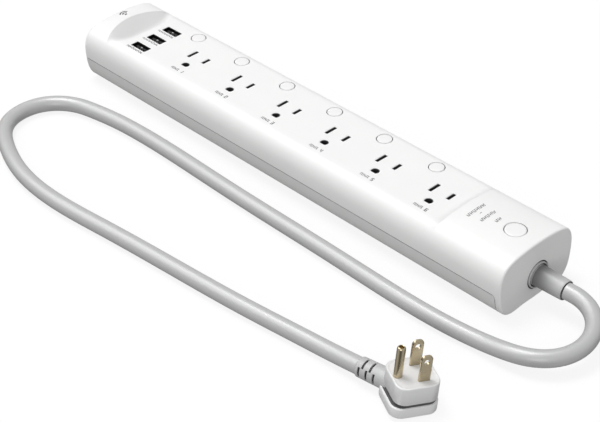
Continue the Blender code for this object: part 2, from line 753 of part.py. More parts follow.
def make_prong(name, finish, x, frame):
    """A flat blade with the usual hole near its tip, standing in its pocket."""
    bm = bmesh.new()
    low, high = x - PRONG_THICKNESS / 2, x + PRONG_THICKNESS / 2
    outline = prong_outline(PRONG_LENGTH)
    add_loft(bm, [[(side, PRONG_LINE_Y + across, PLUG_HEIGHT + up) for across, up in outline]
                  for side in (low, high)])
    blade = on_plug(finish_mesh(bm, name, finish), frame)
    bm = bmesh.new()
    add_turned(bm, [(1.6, -3.0), (1.6, 3.0)], 14)
    hole = as_cutter(finish_mesh(bm, name + "_tool", None, (x, PRONG_LINE_Y, PLUG_HEIGHT + PRONG_LENGTH - 4.0)))
    hole.rotation_euler = Euler((0.0, math.pi / 2.0, 0.0))
    on_plug(hole, frame)
    combine(blade, hole, "DIFFERENCE")


def make_plug(body_finish, rear_finish, brass):
    """The flat plug: front block with prongs, rear cover behind a shadow groove, ribbed strain relief."""
    frame = bpy.data.objects.new("plug_frame", None)
    bpy.context.collection.objects.link(frame)
    frame.location = Vector(PLUG_PLACE) * MM
    frame.rotation_euler = Euler([math.radians(angle) for angle in PLUG_TILT])

    half = PLUG_REAR_HALF
    bm = bmesh.new()
    add_plug_solid(bm, [(half - 1.6, 0.0), (half - 0.5, 0.6), (half, 2.0), (half, PLUG_REAR_TOP),
                        (PLUG_CORE_HALF, PLUG_REAR_TOP), (PLUG_CORE_HALF, PLUG_REAR_TOP + PLUG_GROOVE - GAP)],
                   PLUG_REAR_EXTRA)
    on_plug(finish_mesh(bm, "plug_rear", rear_finish), frame)

    half = PLUG_HALF
    bm = bmesh.new()
    add_plug_solid(bm, [(half, PLUG_REAR_TOP + PLUG_GROOVE), (half, PLUG_HEIGHT - 1.0),
                        (half - 0.3, PLUG_HEIGHT - 0.3), (half - 1.0, PLUG_HEIGHT)])
    front = on_plug(finish_mesh(bm, "plug_front", body_finish), frame)
    bm = bmesh.new()
    pocket_z = (PLUG_HEIGHT - PRONG_ROOT - GAP, PLUG_HEIGHT + 5.0)
    for side in (-1, 1):
        x = side * HALF_BLADE_SPACING
        half_x, half_y = PRONG_THICKNESS / 2 + GAP, PRONG_WIDTH / 2 + GAP
        add_box(bm, (x - half_x, PRONG_LINE_Y - half_y, pocket_z[0]),
                (x + half_x, PRONG_LINE_Y + half_y, pocket_z[1]))
    pocket_radius = GROUND_PIN_RADIUS + GAP
    add_turned(bm, [(pocket_radius, pocket_z[0]), (pocket_radius, pocket_z[1])], 16, (0.0, GROUND_PIN_Y))
    combine(front, on_plug(as_cutter(finish_mesh(bm, "pocket_tool", None)), frame), "DIFFERENCE")

    make_prong("blade_neutral", brass, -HALF_BLADE_SPACING, frame)
    make_prong("blade_line", brass, HALF_BLADE_SPACING, frame)
    bm = bmesh.new()
    top, radius = PLUG_HEIGHT + GROUND_PIN_LENGTH, GROUND_PIN_RADIUS
    add_turned(bm, [(radius, PLUG_HEIGHT - PRONG_ROOT), (radius, top - 2.0), (0.88 * radius, top - 0.9),
                    (0.5 * radius, top - 0.15), (0.1, top)], 16, (0.0, GROUND_PIN_Y))
    on_plug(finish_mesh(bm, "ground_pin", brass, smooth=True), frame)
    return frame


def relief_slots():
    """Staggered rows of slots cut part of the way round the strain relief, each row at an angle from its top."""
    inner, outer, half_span = 4.7, 8.0, math.radians(35.0)
    bm = bmesh.new()
    for row_angle, first, slots in RELIEF_ROWS:
        middle = math.radians(row_angle)
        angles = [middle + half_span * (i / 4 - 1.0) for i in range(9)]
        outline = [(inner * math.cos(angle), inner * math.sin(angle)) for angle in angles]
        outline += [(outer * math.cos(angle), outer * math.sin(angle)) for angle in reversed(angles)]
        for index in range(slots):
            low = first + RELIEF_SLOT_PITCH * index
            add_prism(bm, outline, low - RELIEF_SLOT / 2, low + RELIEF_SLOT / 2)
    return as_cutter(finish_mesh(bm, "relief_slot_tool", None))


def make_strain_relief(finish, frame):
    """A slotted sleeve between the cord and the plug's side, a little wider towards the plug."""
    start, end = Vector(RELIEF_START), Vector(RELIEF_END)
    length = (end - start).length
    along = (end - start).normalized()
    across = along.cross(Vector((0.0, 0.0, 1.0))).normalized()
    turn = Matrix((across.cross(along), across, along)).transposed().to_euler()
    bm = bmesh.new()
    add_turned(bm, [(RELIEF_RADII[0] - 0.4, 0.0), (RELIEF_RADII[0], 0.5), (RELIEF_RADII[1], length)], 24)
    sleeve = finish_mesh(bm, "plug_strain_relief", finish, tuple(start), smooth=True)
    sleeve.rotation_euler = turn
    slots = relief_slots()
    slots.location = start * MM
    slots.rotation_euler = turn
    combine(sleeve, slots, "DIFFERENCE")
    bm = bmesh.new()
    clear = PLUG_REAR_HALF + GAP
    add_prism(bm, plug_outline(clear, PLUG_REAR_EXTRA), -10.0, PLUG_HEIGHT + 10.0)
    combine(sleeve, on_plug(as_cutter(finish_mesh(bm, "relief_tool", None)), frame), "DIFFERENCE")


# ---------------------------------------------------------------- build

def build():
    """Make every piece of the strip."""
    for old in list(bpy.data.objects):
        bpy.data.objects.remove(old, do_unlink=True)

    white = material("white_plastic", (0.88, 0.88, 0.87), 0.42)
    lower = material("lower_plastic", (0.80, 0.80, 0.79), 0.45)
    cap = material("button_plastic", (0.86, 0.86, 0.86), 0.38)
    sheath = material("cord_sheath", (0.62, 0.63, 0.64), 0.40)
    boot = material("boot_rubber", (0.52, 0.53, 0.54), 0.50)
    plug = material("plug_plastic", (0.66, 0.66, 0.68), 0.42)
    brass = material("blade_brass", (0.72, 0.63, 0.42), 0.28, 1.0)
    contact = material("contact_brass", (0.75, 0.58, 0.30), 0.35, 1.0)
    steel = material("shell_steel", (0.55, 0.56, 0.58), 0.32, 1.0)
    screw = material("screw_steel", (0.45, 0.46, 0.48), 0.35, 1.0)
    black = material("black_plastic", (0.03, 0.03, 0.03), 0.45)
    board = material("circuit_board", (0.03, 0.20, 0.09), 0.50)
    relay = material("relay_blue", (0.05, 0.16, 0.40), 0.40)
    ferrite = material("ferrite", (0.10, 0.10, 0.11), 0.60)
    can = material("capacitor_sleeve", (0.08, 0.09, 0.16), 0.35)
    ceramic = material("varistor_lacquer", (0.10, 0.25, 0.55), 0.45)
    rubber = material("foot_rubber", (0.10, 0.10, 0.10), 0.80)
    line = material("lead_black", (0.03, 0.03, 0.03), 0.45)
    neutral = material("lead_white", (0.80, 0.80, 0.80), 0.45)
    ground = material("lead_green", (0.05, 0.35, 0.10), 0.45)

    make_upper_housing(white)
    make_lower_housing(lower)
    make_feet(rubber)
    make_screws(screw)
    make_outlet_buttons(cap)
    make_reset_button(cap)
    make_switches(black)
    make_buses(contact)
    make_line_contacts(contact)
    make_boards(board)
    make_board_parts(relay, ferrite, can, ceramic, steel)
    make_usb_ports(steel, black)
    make_leads(line, neutral, ground)
    make_cord_boot(boot)
    tube("mains_cord", sheath, even_line(CORD_ROUTE, CORD_POINTS), CORD_RADIUS, 3)
    frame = make_plug(plug, plug, brass)
    make_strain_relief(boot, frame)


build()
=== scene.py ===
"""Looks of the power strip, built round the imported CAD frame.

Sizes are in millimetres, in the frame of the CAD: +X along the strip to its cord end, +Y towards the
buttons' side, +Z up out of the outlets, origin at the bottom centre of the strip. The mesh builders turn them
into metres.
"""
import json
import math

import bmesh
import bpy
import numpy as np
from mathutils import Euler, Matrix, Vector

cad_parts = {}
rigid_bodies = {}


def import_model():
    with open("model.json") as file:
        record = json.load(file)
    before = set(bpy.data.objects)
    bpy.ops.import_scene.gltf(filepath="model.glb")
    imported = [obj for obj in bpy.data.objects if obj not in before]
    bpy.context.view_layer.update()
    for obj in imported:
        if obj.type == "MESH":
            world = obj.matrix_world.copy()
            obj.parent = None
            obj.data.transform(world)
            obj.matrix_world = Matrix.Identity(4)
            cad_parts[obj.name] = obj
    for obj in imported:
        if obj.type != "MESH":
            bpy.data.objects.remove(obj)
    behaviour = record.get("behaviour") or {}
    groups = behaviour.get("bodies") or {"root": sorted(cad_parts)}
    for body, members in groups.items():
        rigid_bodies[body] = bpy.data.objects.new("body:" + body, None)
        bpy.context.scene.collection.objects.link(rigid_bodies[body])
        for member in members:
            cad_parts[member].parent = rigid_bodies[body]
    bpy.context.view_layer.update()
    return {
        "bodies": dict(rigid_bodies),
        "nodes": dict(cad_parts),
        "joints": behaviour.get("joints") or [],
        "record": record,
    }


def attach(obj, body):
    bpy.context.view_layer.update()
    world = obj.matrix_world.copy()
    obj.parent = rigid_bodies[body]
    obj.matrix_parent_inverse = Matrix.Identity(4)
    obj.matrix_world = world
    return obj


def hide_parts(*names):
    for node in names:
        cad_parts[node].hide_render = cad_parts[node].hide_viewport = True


MM = 0.001
BODY = "strip"
MERGE_DISTANCE = 0.0005
SPLINE_STEPS = 40
QUARTER = math.pi / 2.0
# Turn that lays a piece's own Z along the strip
LYING = (0.0, QUARTER, 0.0)

# Housing
HALF_LENGTH = 180.5
END_ROUNDING = {-1: 2.2, 1: 1.2}
WALL = 2.2
FLOOR_TOP = 3.4
DECK_Z = 37.0
DECK_UNDERSIDE = DECK_Z - WALL
CROWN_Z = 39.8
UNDERSIDE_Z = 1.0
SEAM_Z = 17.6
SEAM_GAP = 0.45
CAP_INNER_X = 177.0
SEAM_CORNER_RADIUS = 2.5
TOP_FROM_Z = 30.0
DECK_RINGS_X = (-140.0, -80.0, -20.0, 40.0, 100.0, 118.0)
CROWN_RING_X = 150.0
SHELL_SMOOTH_ANGLE = 32.0
HALF_SECTION = [
    (0.0, 1.0), (12.0, 1.0), (21.5, 1.0), (25.3, 2.9), (28.8, 7.6), (30.4, 14.0), (31.0, 22.0), (30.4, 28.5),
    (28.6, 32.6), (25.3, 35.9), (21.5, 37.6), (16.0, 38.7), (8.0, 39.5), (0.0, 39.8),
]
SECTION_POINTS = 44
DECK_BLEND = 0.9

# Crescent slope at the USB end and step at the cord end
SLOPE_TOP_X = -169.2
SLOPE_FOOT_X = -148.5
SLOPE_BOW = 7.0
SCOOP_DEPTH = 1.4
# (fraction of the way down, fraction of the drop to the deck, fraction of the scoop's depth)
CRESCENT_PROFILE = [
    (0.0, 0.0, 0.0), (0.02, 0.03, 0.01), (0.06, 0.11, 0.05), (0.3, 0.45, 0.36), (0.52, 0.78, 0.72),
    (0.64, 0.94, 0.95), (0.72, 1.0, 1.0), (0.79, 1.0, 0.93), (0.86, 1.0, 0.66), (0.93, 1.0, 0.30),
    (1.0, 1.0, 0.07), (1.06, 1.0, 0.0),
]
SHOULDER_Y = 25.0
STEP_X = 128.5
# (distance from the step's upper edge, fraction of the drop to the deck)
STEP_PROFILE = [
    (-5.4, 1.0), (-4.2, 0.985), (-3.2, 0.87), (-2.2, 0.66), (-1.2, 0.44), (-0.4, 0.25), (-0.1, 0.1),
    (0.1, 0.03), (0.45, 0.0),
]
# Painted shade: how much the crescent and the deck at the step's foot are darkened in colour, and how far
# each fade of it reaches
CRESCENT_SHADE = 0.275
CRESCENT_EDGE = 1.2
CRESCENT_FADE = 7.5
STEP_SHADE = 0.10
STEP_SHADE_REACH = 6.0
STEP_SHADE_STOP = 0.1
SHADED_FROM_Z = (34.0, 36.0)

# Outlets
PITCH = 41.9
OUTLETS_X = [-100.0 + index * PITCH for index in range(6)]
GROUND_Y = -10.8
BLADE_Y = GROUND_Y + 11.9
HALF_BLADE_SPACING = 6.35
SLOT_WIDTH = 2.4
NEUTRAL_SLOT_LENGTH = 8.8
LINE_SLOT_LENGTH = 6.8
GROUND_HOLE_RADIUS = 2.7
GROUND_HOLE_FLAT = -1.9
SLOT_CORNER = 0.3
LEAD_IN = 0.25
TOOL_LOW_Z = DECK_UNDERSIDE - 5.0
TOOL_MARGIN = 4.0
INSERT_HALF = (11.0, 11.2)
INSERT_CORNER = 2.0
INSERT_Y = -4.0
SPIGOT_SHRINK = 0.06
PASSAGE_SHRINK = 0.42

# Buttons; a flange has a radius and a thickness, a stem a radius and the height of its lower end
BUTTONS_X = [x - 18.9 for x in OUTLETS_X]
BUTTON_Y = 17.0
BUTTON_HOLE_RADIUS = 5.15
BUTTON_LEAD_IN = 0.08
BUTTON_RADIUS = 4.6
BUTTON_EDGE = 0.35
BUTTON_PROUD = 0.1
BUTTON_FLANGE = (6.0, 1.0)
BUTTON_STEM = (1.5, 30.4)
RESET_X = 164.0
RESET_HOLE_RADIUS = 6.8
RESET_RADIUS = 6.25
# (distance in from the rim, height over the crown)
RESET_TOP = [(4.7, 0.0), (3.2, 0.0), (1.6, 0.0), (0.6, 0.0), (0.25, -0.05), (0.07, -0.18), (0.0, -0.4)]
RESET_FLANGE = (7.7, 1.1)
RESET_STEM = (2.5, 28.5)
# Dark rings in the gaps, painted shadow: distances from the cap and from the hole, and depths of their top
# and bottom
GAP_SHADOW_RINGS = (0.08, 0.03, 0.6, 1.0)

# USB ports; boxes are half lengths along X and Y and a corner radius
USB_X = -137.6
USB_PITCH = 13.25
USB_PORTS_Y = [-3.1 + (index - 1) * USB_PITCH for index in range(3)]
USB_MOUTH = (6.75, 3.0, 0.5)
PORT_OUTER = (6.7, 2.95, 0.45)
PORT_INNER = (6.35, 2.6, 0.3)
PORT_BOTTOM = 20.2
PORT_TOP = DECK_Z - 0.3
PORT_FLOOR = PORT_BOTTOM + 0.4
TONGUE = (5.6, 0.9, 0.25)
TONGUE_SHIFT = 0.1
TONGUE_TOP = DECK_Z - 2.0
CONTACT = (0.5, 0.12, 0.05)
CONTACTS_X = (-3.5, -1.0, 1.0, 3.5)
LATCH = (0.7, 0.45, 0.2)

# Print: places, heights and widths of its strokes
MARK_Y = -18.4
PRINT_LIFT = 0.01
PRINT_THICKNESS = 0.04
FINE_STROKE = 0.36
OUTLET_TICKS = (-4.2, 1.15, 6, 1.9)
DIGIT_SHIFT = 5.0
DIGIT_HEIGHT = 2.4
DIGIT_STROKE = 0.42
PORT_TICKS = (-7.6, -5.0, 1.25, 12, 1.35)
RESET_ROWS = [(136.7, -8.6, 12), (145.1, -6.9, 10), (151.6, -2.0, 4)]
RESET_TICKS = (1.26, 1.8, 0.4)
RESET_DASH = ((140.4, -2.4), (140.4, -1.2))
ARC_CENTRE = (-173.4, 0.4)
ARC_RADII = (1.9, 3.7)
ARC_STROKE = 0.85
DOT = ((-173.2, 0.1), (-173.2, 0.7))
DOT_STROKE = 1.2
# Strokes of each numeral between its corners: top, middle or bottom, then left or right
DIGIT_CORNERS = {"t": 1, "m": 0, "b": -1, "l": -1, "r": 1}
DIGIT_STROKES = {
    1: ["tr-br"], 2: ["tl-tr", "tr-mr", "mr-ml", "ml-bl", "bl-br"], 3: ["tl-tr", "tr-br", "ml-mr", "bl-br"],
    4: ["tl-ml", "ml-mr", "tr-br"], 5: ["tr-tl", "tl-ml", "ml-mr", "mr-br", "br-bl"],
    6: ["tr-tl", "tl-bl", "bl-br", "br-mr", "mr-ml"],
}

# Underside
SCREWS = [(-170.0, -19.0), (-170.0, 19.0), (168.0, -20.0), (168.0, 20.0)]
SCREW_TUBE_RADIUS = 4.2
# (radius, height)
SCREW_HOLE = [
    (3.6, -2.0), (3.6, UNDERSIDE_Z), (3.3, UNDERSIDE_Z + 0.3), (3.3, 12.3), (1.6, 12.3), (1.6, SEAM_Z + 2.0),
]
FEET_X = (-150.0, 148.0)
FOOT_RECESS = (5.3, 18.3, 1.5)
FOOT_RECESS_Z = 2.0
BELOW_Z = -2.0
KEYHOLES_X = (-116.0, 116.0)

# Cord and boot
CORD_RADIUS = 5.0
BOOT_PLACE = (HALF_LENGTH, 1.7, 16.3)
BOOT_END_X = 200.5
CORD_LIES_AT_Z = 5.2
# (x, y) where the cord lies on the ground, and its whole route
CORD_ON_GROUND = [
    (173.0, -54.7), (145.0, -56.4), (112.0, -56.3), (70.0, -55.5), (25.0, -55.1), (-20.0, -54.3),
    (-65.0, -53.0), (-97.0, -53.0), (-121.5, -54.6), (-139.0, -57.3), (-151.6, -60.5), (-162.0, -66.7),
    (-169.3, -75.9), (-172.3, -87.2), (-170.8, -98.8), (-164.8, -109.0), (-155.3, -116.7),
    (-144.0, -122.6), (-122.0, -130.7), (-96.0, -135.0), (-72.0, -135.2), (-34.0, -131.9), (20.0, -127.4),
    (75.0, -122.8), (117.0, -117.9),
]
CORD_ROUTE = [
    (200.8, 1.7, 16.3), (206.8, 2.0, 16.2), (218.5, -0.9, 15.5), (228.0, -9.0, 14.2),
    (232.7, -20.4, 12.6), (231.5, -32.6, 11.2), (225.0, -42.9, 10.3), (214.8, -49.5, 9.4),
    (202.8, -52.2, 7.9), (191.0, -52.9, 6.0),
    *[(x, y, CORD_LIES_AT_Z) for x, y in CORD_ON_GROUND],
    (138.0, -115.9, 5.8), (157.0, -114.66, 7.42),
]
CORD_POINTS = 320
# (radius, x)
BOOT_PROFILE = [
    (9.8, 172.2), (9.8, CAP_INNER_X - 0.3), (8.2, CAP_INNER_X - 0.3), (8.2, 180.9), (8.1, 181.2),
    (7.9, 181.3), (7.6, 181.3), (7.4, 181.2), (7.3, 180.9), (7.3, 178.3), (6.6, 178.3), (6.5, 181.5),
    (6.3, 190.0), (6.1, 199.4), (6.0, 200.2), (5.85, BOOT_END_X), (5.65, BOOT_END_X),
    (5.55, BOOT_END_X - 0.2), (5.55, BOOT_END_X - 1.8), (5.0, BOOT_END_X - 1.8),
]
# (radius, distance past the end face)
BOOT_HOLE = [(8.9, -6.0), (8.9, -0.3), (9.2, 0.0), (9.2, 8.0)]
# Dark disc behind the boot's collar: painted shadow in the gaps round it
BOOT_SHADOW_FILL = [(6.5, -3.0), (8.95, -3.0), (8.95, -0.35), (8.0, -0.35), (7.4, -0.4), (6.45, -0.4)]
# Painted shade at the boot's root: how strong, the grey it multiplies by, and where past the collar it starts
BOOT_ROOT_SHADE = 0.85
BOOT_ROOT_SHADE_GREY = 0.2
BOOT_FADE_START = 1.0

# Plug: its own frame has Z out of the face, X along the blade pair and the ground pin on the -Y side
PLUG_PLACE = (188.5, -111.2, 1.2)
PLUG_TILT = (-5.3, 0.5, -26.5)
PLUG_HALF = 12.3
PLUG_REAR_HALF = 12.7
PLUG_REAR_EXTRA = 1.4
PLUG_CORNER = 6.2
PLUG_HEIGHT = 19.5
PLUG_REAR_TOP = 6.5
PLUG_FRONT_BOTTOM = PLUG_REAR_TOP + 1.9
# (distance in from the outline, height)
PLUG_REAR_PROFILE = [
    (1.2, -0.1), (0.5, 0.1), (0.15, 0.45), (0.0, 1.0), (0.0, PLUG_REAR_TOP - 0.5),
    (0.15, PLUG_REAR_TOP - 0.15), (0.5, PLUG_REAR_TOP), (2.4, PLUG_REAR_TOP),
]
PLUG_FRONT_PROFILE = [
    (0.25, PLUG_FRONT_BOTTOM), (0.0, PLUG_FRONT_BOTTOM + 0.25), (0.0, PLUG_HEIGHT - 0.9),
    (0.1, PLUG_HEIGHT - 0.45), (0.35, PLUG_HEIGHT - 0.1), (0.75, PLUG_HEIGHT), (1.1, PLUG_HEIGHT - 0.08),
    (1.4, PLUG_HEIGHT - 0.3), (1.7, PLUG_HEIGHT - 0.4), (2.0, PLUG_HEIGHT - 0.4),
]
PLUG_SMOOTH_ANGLE = 50.0
PRONG_LINE_Y = 3.5
GROUND_PIN_Y = PRONG_LINE_Y - 11.9
PRONG_WIDTH = 6.35
PRONG_THICKNESS = 1.52
PRONG_LENGTH = 15.9
PRONG_ROOT = 3.0
PRONG_CLEARANCE = 0.1
# (distance from the blade's middle plane, width of its bevel there)
BLADE_LAYERS = [(-0.76, 0.3), (-0.5, 0.0), (0.5, 0.0), (0.76, 0.3)]
BLADE_CORNER = 2.6
BLADE_HOLE_RADIUS = 1.6
BLADE_HOLE_FROM_TIP = 4.0
GROUND_PIN_RADIUS = 2.38
GROUND_PIN_LENGTH = 18.6
# (fraction of the pin's radius, distance past its tip)
GROUND_PIN_TIP = [(1.0, -1.6), (0.95, -0.8), (0.82, -0.2), (0.7, 0.0), (0.58, -0.1), (0.54, -3.0)]
RELIEF_START = (157.3, -114.64, 7.45)
RELIEF_END = (182.0, -112.6, 9.3)
RELIEF_RADII = (5.8, 6.1)
RELIEF_BORE = 5.1
RELIEF_SLOT = 1.5
RELIEF_SLOT_PITCH = 5.0
RELIEF_SLOT_RADII = (4.6, 8.0)
RELIEF_HALF_SPAN = 35.0
# (angle of the row, distance of its first slot, slots)
RELIEF_ROWS = ((17.0, 4.6, 2), (85.0, 2.6, 3), (197.0, 4.6, 2), (265.0, 2.6, 3))
# Radii of the dark sleeve inside the strain relief: painted shadow
RELIEF_SHADOW_RADII = (5.02, 5.12)

# Camera: place in metres, turn in degrees
CAMERA_PLACE = (0.61396, -0.59060, 0.59718)
CAMERA_TURN = (53.507, 0.842, 45.845)
CAMERA_LENS = 100.56

# Light: glow of the sky and of the ground, the ground's bands and the blend at the horizon, then each light's
# place and size in metres and its power in watts
SKY_GLOW = 0.57
GROUND_GLOW = 0.32
GROUND_BANDS = 0.7
BAND_COUNT = 3.0
HORIZON = 0.1
KEY_LIGHT = ((-1.25, -0.15, 4.1), 1.6, 86.0)
FILL_LIGHT = ((1.7, -2.7, 1.2), 1.6, 24.0)
SHEEN_LIGHT = ((-2.5, -1.6, 4.0), 4.8, 190.0)
FLOOR_REACH = 3000.0
FLOOR_GREY = 0.16
FLOOR_GLOW = 0.84

# Plastics: colour, roughness and, where they differ from the usual, grain, grain scale and specular level
PLASTICS = {
    "white_plastic": ((0.87, 0.87, 0.867), 0.45),
    # The lower shell is a greyer white than the top: partly its own colour, partly painted shade for the
    # darker band low on the sides
    "lower_plastic": ((0.75, 0.75, 0.746), 0.45),
    "button_plastic": ((0.87, 0.87, 0.868), 0.38),
    "cord_sheath": ((0.49, 0.492, 0.492), 0.36, 0.02, 1400.0, 0.9),
    "boot_rubber": ((0.50, 0.503, 0.503), 0.42),
    "plug_plastic": ((0.80, 0.80, 0.803), 0.36),
    "black_plastic": ((0.012, 0.012, 0.013), 0.5),
    "grey_ink": ((0.06, 0.06, 0.065), 0.6),
    "insert_plastic": ((0.035, 0.035, 0.036), 0.5),
    # A dark grey that stands for shadow in the plug's groove and round the buttons: painted shadow
    "painted_groove_shadow": ((0.09, 0.09, 0.093), 0.6),
    "circuit_board": ((0.03, 0.20, 0.09), 0.5),
    "relay_plastic": ((0.05, 0.16, 0.40), 0.4),
    "ferrite": ((0.10, 0.10, 0.11), 0.6),
    "capacitor_sleeve": ((0.08, 0.09, 0.16), 0.35),
    "varistor_lacquer": ((0.10, 0.25, 0.55), 0.4),
    "foot_rubber": ((0.05, 0.05, 0.05), 0.8, 0.1),
    "lead_black": ((0.03, 0.03, 0.03), 0.45),
    "lead_white": ((0.80, 0.80, 0.80), 0.45),
    "lead_green": ((0.05, 0.35, 0.10), 0.45),
}
# Metals: colour, roughness and how far the drawn streaks are squeezed along each axis
METALS = {
    "blade_brass": ((0.60, 0.515, 0.355), 0.22, (1.0, 1.0, 0.06)),
    "contact_brass": ((0.75, 0.58, 0.30), 0.35),
    "shell_steel": ((0.50, 0.51, 0.53), 0.32),
    "screw_steel": ((0.42, 0.43, 0.45), 0.35),
    "port_steel": ((0.03, 0.03, 0.032), 0.45),
    "latch_steel": ((0.85, 0.85, 0.86), 0.3),
}
MOTTLE_SCALE = 60.0
MOTTLE_TINT = 0.015
GRAIN_DEPTH = 0.0002
STREAK_SCALE = 1500.0
STREAK_BUMP = 0.05
STREAK_DEPTH = 0.0001
CLOUD_SCALE = 180.0
TARNISH = 0.12


# ---- mesh helpers

def link(made):
    """Put an object in the scene."""
    bpy.context.scene.collection.objects.link(made)
    return made


def shade_by_angle(made, angle):
    """Shade a mesh smooth, with sharp edges where faces meet at more than angle, in degrees."""
    made.data.shade_smooth()
    made.data.set_sharp_from_angle(angle=math.radians(angle))


def finish_mesh(bm, name, finish=None, place=(0.0, 0.0, 0.0), smooth_angle=None):
    """Turn a bmesh in millimetres into an object whose origin is at place."""
    bmesh.ops.remove_doubles(bm, verts=bm.verts, dist=MERGE_DISTANCE)
    bmesh.ops.recalc_face_normals(bm, faces=bm.faces)
    bmesh.ops.scale(bm, vec=(MM, MM, MM), verts=bm.verts)
    mesh = bpy.data.meshes.new(name)
    bm.to_mesh(mesh)
    bm.free()
    if finish:
        mesh.materials.append(finish)
    made = link(bpy.data.objects.new(name, mesh))
    made.location = Vector(place) * MM
    if smooth_angle:
        shade_by_angle(made, smooth_angle)
    return made


def add_loft(bm, rings, closed=False):
    """Skin a list of rings with the same number of points; close both ends unless the rings form a loop."""
    rows = [[bm.verts.new(point) for point in ring] for ring in rings]
    count = len(rows[0])
    following = rows[1:] + rows[:1] if closed else rows[1:]
    for first, second in zip(rows, following):
        for i in range(count):
            j = (i + 1) % count
            bm.faces.new((first[i], first[j], second[j], second[i]))
    if not closed:
        bm.faces.new(rows[0])
        bm.faces.new(rows[-1])


def stack(layers):
    """Rings of a stack of (outline, z) layers."""
    return [[(x, y, z) for x, y in outline] for outline, z in layers]


def prism(outline, low, high):
    """Rings of an (x, y) outline extruded from z = low to z = high."""
    return stack([(outline, low), (outline, high)])


def arc(radius, start, end, steps, centre=(0.0, 0.0)):
    """Points on an arc between two angles, in radians."""
    angles = [start + (end - start) * i / steps for i in range(steps + 1)]
    return [(centre[0] + radius * math.cos(a), centre[1] + radius * math.sin(a)) for a in angles]


def circle(radius, sides, centre=(0.0, 0.0)):
    """A round outline."""
    return arc(radius, 0.0, 2.0 * math.pi, sides, centre)[:-1]


def turned(profile, sides, centre=(0.0, 0.0)):
    """Rings of a profile of (radius, z) points turned round a vertical axis through centre."""
    return stack([(circle(radius, sides, centre), z) for radius, z in profile])


def build(name, solids, finish=None, place=(0.0, 0.0, 0.0), smooth_angle=None, closed=False):
    """Make an object of solids, each a list of rings in millimetres."""
    bm = bmesh.new()
    for rings in solids:
        add_loft(bm, rings, closed)
    return finish_mesh(bm, name, finish, place, smooth_angle)


def rounded_box(half_x, half_y, corner, steps, centre):
    """Outline of a rectangle with rounded corners."""
    outline = []
    for quarter, (sx, sy) in enumerate(((1, 1), (-1, 1), (-1, -1), (1, -1))):
        middle = (centre[0] + sx * (half_x - corner), centre[1] + sy * (half_y - corner))
        start = QUARTER * quarter
        outline += arc(corner, start, start + QUARTER, steps, middle)
    return outline


def even_line(points, count):
    """A curve of continuous curvature (natural cubic spline) through points, read at count even distances."""
    points = np.array(points, float)
    steps = np.linalg.norm(np.diff(points, axis=0), axis=1)
    matrix = np.eye(len(points))
    slopes = np.diff(points, axis=0) / steps[:, None]
    change = np.zeros_like(points)
    for i in range(1, len(points) - 1):
        matrix[i, i - 1:i + 2] = steps[i - 1], 2.0 * (steps[i - 1] + steps[i]), steps[i]
        change[i] = 6.0 * (slopes[i] - slopes[i - 1])
    bend = np.linalg.solve(matrix, change)
    fine = []
    for i, step in enumerate(steps):
        for t in np.linspace(0.0, 1.0, SPLINE_STEPS, endpoint=False):
            back = 1.0 - t
            fine.append(back * points[i] + t * points[i + 1]
                        + step ** 2 / 6.0 * ((back ** 3 - back) * bend[i] + (t ** 3 - t) * bend[i + 1]))
    fine = np.array(fine + [points[-1]])
    along = np.concatenate(([0.0], np.cumsum(np.linalg.norm(np.diff(fine, axis=0), axis=1))))
    wanted = np.linspace(0.0, along[-1], count)
    axes = range(points.shape[1])
    return [tuple(float(np.interp(at, along, fine[:, axis])) for axis in axes) for at in wanted]


def apply_boolean(target, tool, operation="DIFFERENCE"):
    """Cut tool away from target, or combine them another way, and delete the tool."""
    modifier = target.modifiers.new(tool.name, "BOOLEAN")
    modifier.operation = operation
    modifier.solver = "EXACT"
    modifier.object = tool
    bpy.context.view_layer.update()
    graph = bpy.context.evaluated_depsgraph_get()
    old = target.data
    target.data = bpy.data.meshes.new_from_object(target.evaluated_get(graph))
    target.modifiers.clear()
    bpy.data.meshes.remove(old)
    bpy.data.objects.remove(tool, do_unlink=True)


def smooth_shell(made):
    """Shade a shell smooth, with normals weighted by face area."""
    shade_by_angle(made, SHELL_SMOOTH_ANGLE)
    weigh = made.modifiers.new("face_weighted_normals", "WEIGHTED_NORMAL")
    weigh.keep_sharp = True


# ---- materials

def set_inputs(tree, node, values):
    """Fill a node's inputs, by name or number, with plain values or with other nodes' outputs."""
    for key, value in values.items():
        if isinstance(value, bpy.types.NodeSocket):
            tree.links.new(value, node.inputs[key])
        else:
            node.inputs[key].default_value = value


def add_node(tree, kind, values):
    """A new node with its inputs filled."""
    node = tree.nodes.new(kind)
    set_inputs(tree, node, values)
    return node


def coordinates(tree, frame):
    """Texture coordinates in the named frame."""
    return add_node(tree, "ShaderNodeTexCoord", {}).outputs[frame]


def axes_of(tree, frame):
    """The X, Y and Z of texture coordinates."""
    return add_node(tree, "ShaderNodeSeparateXYZ", {"Vector": coordinates(tree, frame)}).outputs


def calculate(tree, operation, *values):
    """The result of a math node on one or two values."""
    node = add_node(tree, "ShaderNodeMath", dict(enumerate(values)))
    node.operation = operation
    return node.outputs["Value"]


def remap(tree, value, source, target, shape="LINEAR"):
    """A value moved from one range to another."""
    values = {"Value": value}
    values["From Min"], values["From Max"] = source
    values["To Min"], values["To Max"] = target
    node = add_node(tree, "ShaderNodeMapRange", values)
    node.interpolation_type = shape
    return node.outputs["Result"]


def mix_colours(tree, amount, first, second, blend="MIX"):
    """A mix of two colours."""
    node = tree.nodes.new("ShaderNodeMix")
    node.data_type = "RGBA"
    node.blend_type = blend
    set_inputs(tree, node, {0: amount, 6: first, 7: second})
    return node.outputs[2]


def noise(tree, place, scale, detail=2.0):
    """Noise at a place."""
    values = {"Vector": place, "Scale": scale, "Detail": detail}
    return add_node(tree, "ShaderNodeTexNoise", values).outputs["Fac"]


